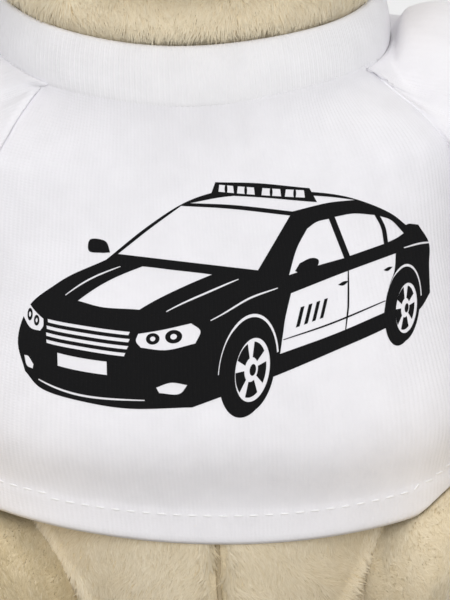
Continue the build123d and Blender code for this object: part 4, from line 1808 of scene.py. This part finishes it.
    def lay(self, flat: Array, shirt: Shirt, skin: Surface) -> tuple[Array, Array]:
        """Finds where flat places come to lie on the cloth when seen from the front: Newton's steps on angle
        and height until the cloth's sideways and upward view there is the flat place.

        Args:
            flat: places on the drawing, in millimetres from its middle.
            shirt: the shirt.
            skin: its surface.

        Returns:
            Angles from the front and heights.
        """
        e, r = math.radians(self.view_elevation), math.radians(self.view_roll)
        right, up = np.array([1.0, 0, 0]), np.array([0, math.sin(e), math.cos(e)])
        view = np.stack([math.cos(r) * right - math.sin(r) * up, math.sin(r) * right + math.cos(r) * up], 1)
        goal = flat + np.array(self.place) @ view
        turn, height = flat[:, 0] / self.chest_radius, self.place[2] + flat[:, 1]
        for _ in range(self.steps):
            here = shirt.on_skin(skin, turn, height)[0] @ view
            aside = (shirt.on_skin(skin, turn + 0.01, height)[0] @ view - here) / 0.01
            over = (shirt.on_skin(skin, turn, height + 0.4)[0] @ view - here) / 0.4
            miss = goal - here
            area = aside[:, 0] * over[:, 1] - aside[:, 1] * over[:, 0]
            turn = turn + self.damping * (miss[:, 0] * over[:, 1] - miss[:, 1] * over[:, 0]) / area
            height = height + self.damping * (aside[:, 0] * miss[:, 1] - aside[:, 1] * miss[:, 0]) / area
        return turn, height


@dataclass
class Sleeve:
    """A raglan sleeve: it starts at a seam that runs from the collar to under the arm, and ends in a cuff."""

    side: Side
    shirt: Shirt
    cloth: Surface
    rows: int = 70
    columns: int = 200
    cuff_at: float = 31.0
    cuff_radius: float = 17.6
    least: float = 17.2
    twist: float = 6.5
    allowance: float = 3.0  # how much body cloth stays inside the seam, in degrees and in millimetres
    seam_shares: tuple = (0.12, 0.17, 0.22, 0.29, 0.40, 0.5)
    seam_turns: tuple = (51.9, 56.6, 57.4, 58.8, 68.0, 90.0)
    seam_heights: tuple = (115.6, 112.4, 107.3, 100.8, 90.0, 79.0)
    wall: float = 0.9
    bend: tuple = (3.0, 15.0)  # how far out from the shoulder the cloth would go over from trunk to arm; only worked into points that nothing uses
    outward: float = 1.0  # the wall then lies inside the left sleeve's surface and outside the right one's

    def loop(self, q: Array) -> tuple[Array, Array]:
        """The seam: along the collar's foot, down a smooth curve, and back as the mirror image, all twisted a
        little on the bear as the whole shirt is.

        Args:
            q: shares of the way from the shoulder's top over the front, under the arm and back.

        Returns:
            Angles and heights.
        """
        front, knots = np.minimum(q, 1 - q), self.seam_shares
        along = np.interp(front, [0, knots[0]], [90.0, self.seam_turns[0]])
        turn = np.where(front < knots[0], along, through(front, knots, self.seam_turns))
        turn = np.where(q <= 0.5, turn, 180 - turn)
        at = np.radians(self.side.value * turn + self.twist)
        foot = self.shirt.foot(at) + 0.3
        drop = step(front, knots[0], knots[1] + 0.03)
        return at, foot + (np.minimum(through(front, knots, self.seam_heights), foot) - foot) * drop

    def covers(self, turn: Array, height: Array) -> Array:
        """Whether places on the shirt's body, at angles in degrees, lie inside the seam's allowance."""
        own = (self.side.value * (turn - self.twist) + 180) % 360 - 180
        edge = np.interp(height, self.seam_heights[:0:-1], self.seam_turns[:0:-1])
        inside = (own > 0) & (np.minimum(own, 180 - own) > edge + self.allowance)
        return inside & (height > self.seam_heights[-1] + self.allowance)

    def skin(self) -> Surface:
        """Cubic Hermite curves from the seam to the cuff's circle, held off the arm, folded at the armpit."""
        arm, q = Arm(self.side), np.arange(self.columns) / self.columns
        start, normal = self.shirt.on_skin(self.cloth, *self.loop(q))
        front, turn = np.minimum(q, 1 - q)[:, None], 2 * np.pi * q[:, None]
        over, under = 1 - step(front, 0.0, 0.11), step(front, 0.36, 0.48)
        ahead = arm.across * (1 if arm.across[1] < 0 else -1)
        ring = self.cuff_radius * (arm.up * np.cos(turn) + ahead * np.sin(turn))
        end = arm.place + arm.along * self.cuff_at + ring
        way = end - start
        reach = np.linalg.norm(way, axis=-1, keepdims=True)
        flat = way - (way * normal).sum(-1, keepdims=True) * normal * 0.9 * (1 - over) * (1 - 0.75 * under)
        leave = evened(unit(unit(flat) + over * [0, 0, 0.6]) * reach * 0.9, 0)
        arrive = arm.along * reach * 0.8
        s = np.linspace(0, 1, self.rows)[:, None, None]
        p = start * (1 + 2 * s) * (1 - s) ** 2 + leave * s * (1 - s) ** 2
        p = p + end * s**2 * (3 - 2 * s) - arrive * s**2 * (1 - s)
        p = p + (evened(p, 1) - p) * hill(front - 0.125, 0.035) * step(s, 0, 0.06)
        inside, outside = arm.place - arm.along * 4, arm.place + arm.along * 60
        clear = held_off(p, inside, outside, (self.least, self.least), 0.8)
        p = p + (clear - p) * step(s, 0, 0.12)
        welt = -0.12 + 0.42 * step(s, 0, 0.03) - 0.3 * step(s, 0.05, 0.25)
        welted = p + normal * welt * (1 - 0.6 * hill(front - 0.12, 0.03))
        skin, s = Surface(welted, False, False, outward=self.outward), s[..., 0]
        near = s * (1 - s) * 4
        folds = 0.6 * noise(p, 13, 71) * near + 0.2 * noise(p, 6, 72) * near
        cuff = 0.3 * step(s, 0.86, 0.875) - 0.25 * hill(s - 0.86, 0.012)
        return skin.pushed(np.maximum(folds, -0.3) + cuff)

    def build(self) -> None:
        """Makes the sleeve with its wall and puts its place into its points."""
        word, arm = self.side.word, Arm(self.side)
        sleeve = self.skin().piece(f"sleeve_{word}_jersey", Jersey(wales=150, courses=75))
        thicken(sleeve, self.wall)
        out = unit(arm.along * [1, 1, 0])
        start, end = (arm.place + out * way for way in self.bend)
        tuple(start * MM)
        tuple(end * MM)
        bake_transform(sleeve)
        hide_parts(f"sleeve_{word}")


# ---- studio


def stand(name: str, data: bpy.types.ID, place: Vector, way: Vector, roll: float = 0.0) -> bpy.types.Object:
    """Stands a lamp or camera in the scene.

    Args:
        name: its name.
        data: the lamp or camera.
        place: where it stands, in metres.
        way: the way it looks.
        roll: how far it is turned about that way, clockwise in degrees.

    Returns:
        The new object.
    """
    made = bpy.data.objects.new(name, data)
    bpy.context.scene.collection.objects.link(made)
    made.location = place
    made.rotation_mode = "QUATERNION"
    made.rotation_quaternion = way.to_track_quat("-Z", "Y") @ Quaternion((0, 0, 1), -math.radians(roll))
    return made


@dataclass
class Studio:
    """Floor, lamps, surrounding light and camera."""

    elevation: float = 10.0
    roll: float = 3.0
    distance: float = 0.9
    lens: float = 308.0
    target: tuple = (3.7, -41.0, 78.0)
    surround: float = 0.42
    floor_half: float = 40000
    lamps: tuple = (  # name, where from, spread in degrees, strength
        ("key", (-0.15, -1.0, 0.42), 40, 1.18),
        ("fill", (0.4, -1.0, 0.05), 50, 0.98),
        ("top", (0.0, -0.25, 1.0), 50, 0.80),
        ("back", (0.3, 1.0, 0.6), 60, 0.95),
    )

    def build(self) -> None:
        """Makes the whole studio."""
        self.build_floor()
        self.build_light()
        self.build_camera()

    def build_floor(self) -> None:
        """A flat sheet: an even grid of eight faces each way."""
        x, y = np.meshgrid(*[np.linspace(-self.floor_half, self.floor_half, 9)] * 2, indexing="ij")
        points, number = joined(x, y, 0).reshape(-1, 3), np.arange(x.size).reshape(x.shape)
        quads = np.stack([number[:-1, :-1], number[1:, :-1], number[1:, 1:], number[:-1, 1:]], -1)
        quads = quads.reshape(-1, 4)
        uv = 0.5 + 0.5 * points[quads][..., :2] / self.floor_half
        mesh_piece("floor", points, [quads], uv.reshape(-1, 2), Paper())

    def build_light(self) -> None:
        """Soft lamps from the front and above, and a plain surround that looks white."""
        for name, place, spread, strength in self.lamps:
            lamp = bpy.data.lights.new(name, "SUN")
            lamp.angle, lamp.energy = math.radians(spread), strength
            stand(name, lamp, Vector(place), -Vector(place))
        world = bpy.data.worlds.new("surround")
        bpy.context.scene.world = world
        graph = Graph(world)
        strength = graph.seen() * (1 - self.surround) + self.surround
        back = graph.node("ShaderNodeBackground", {}, {"Color": (1, 1, 1, 1), "Strength": strength})
        graph.node("ShaderNodeOutputWorld", {}, {"Surface": back.outputs[0]})
        bpy.context.scene.view_settings.view_transform = "Standard"

    def build_camera(self) -> None:
        """A long lens in front, a little above, turned slightly about its axis."""
        camera = bpy.data.cameras.new("camera")
        camera.lens, camera.sensor_width = self.lens, 36.0
        camera.clip_start, camera.clip_end = 0.05, 100.0
        e = math.radians(self.elevation)
        back = Vector((0, -math.cos(e), math.sin(e)))
        place = Vector(self.target) * MM + back * self.distance
        bpy.context.scene.camera = stand("camera", camera, place, -back, self.roll)


def main() -> None:
    """Builds the bear, its shirt and the studio in order."""
    logging.basicConfig(level=logging.INFO, format="%(name)s: %(message)s")
    collar = Collar()
    limbs = [limb(side) for limb in (Arm, Leg) for side in Side]
    for part in [Trunk(), Head(), *limbs, collar, Shirt(collar)]:
        part.build()
    Studio().build()


if __name__ == "__main__":
    main()
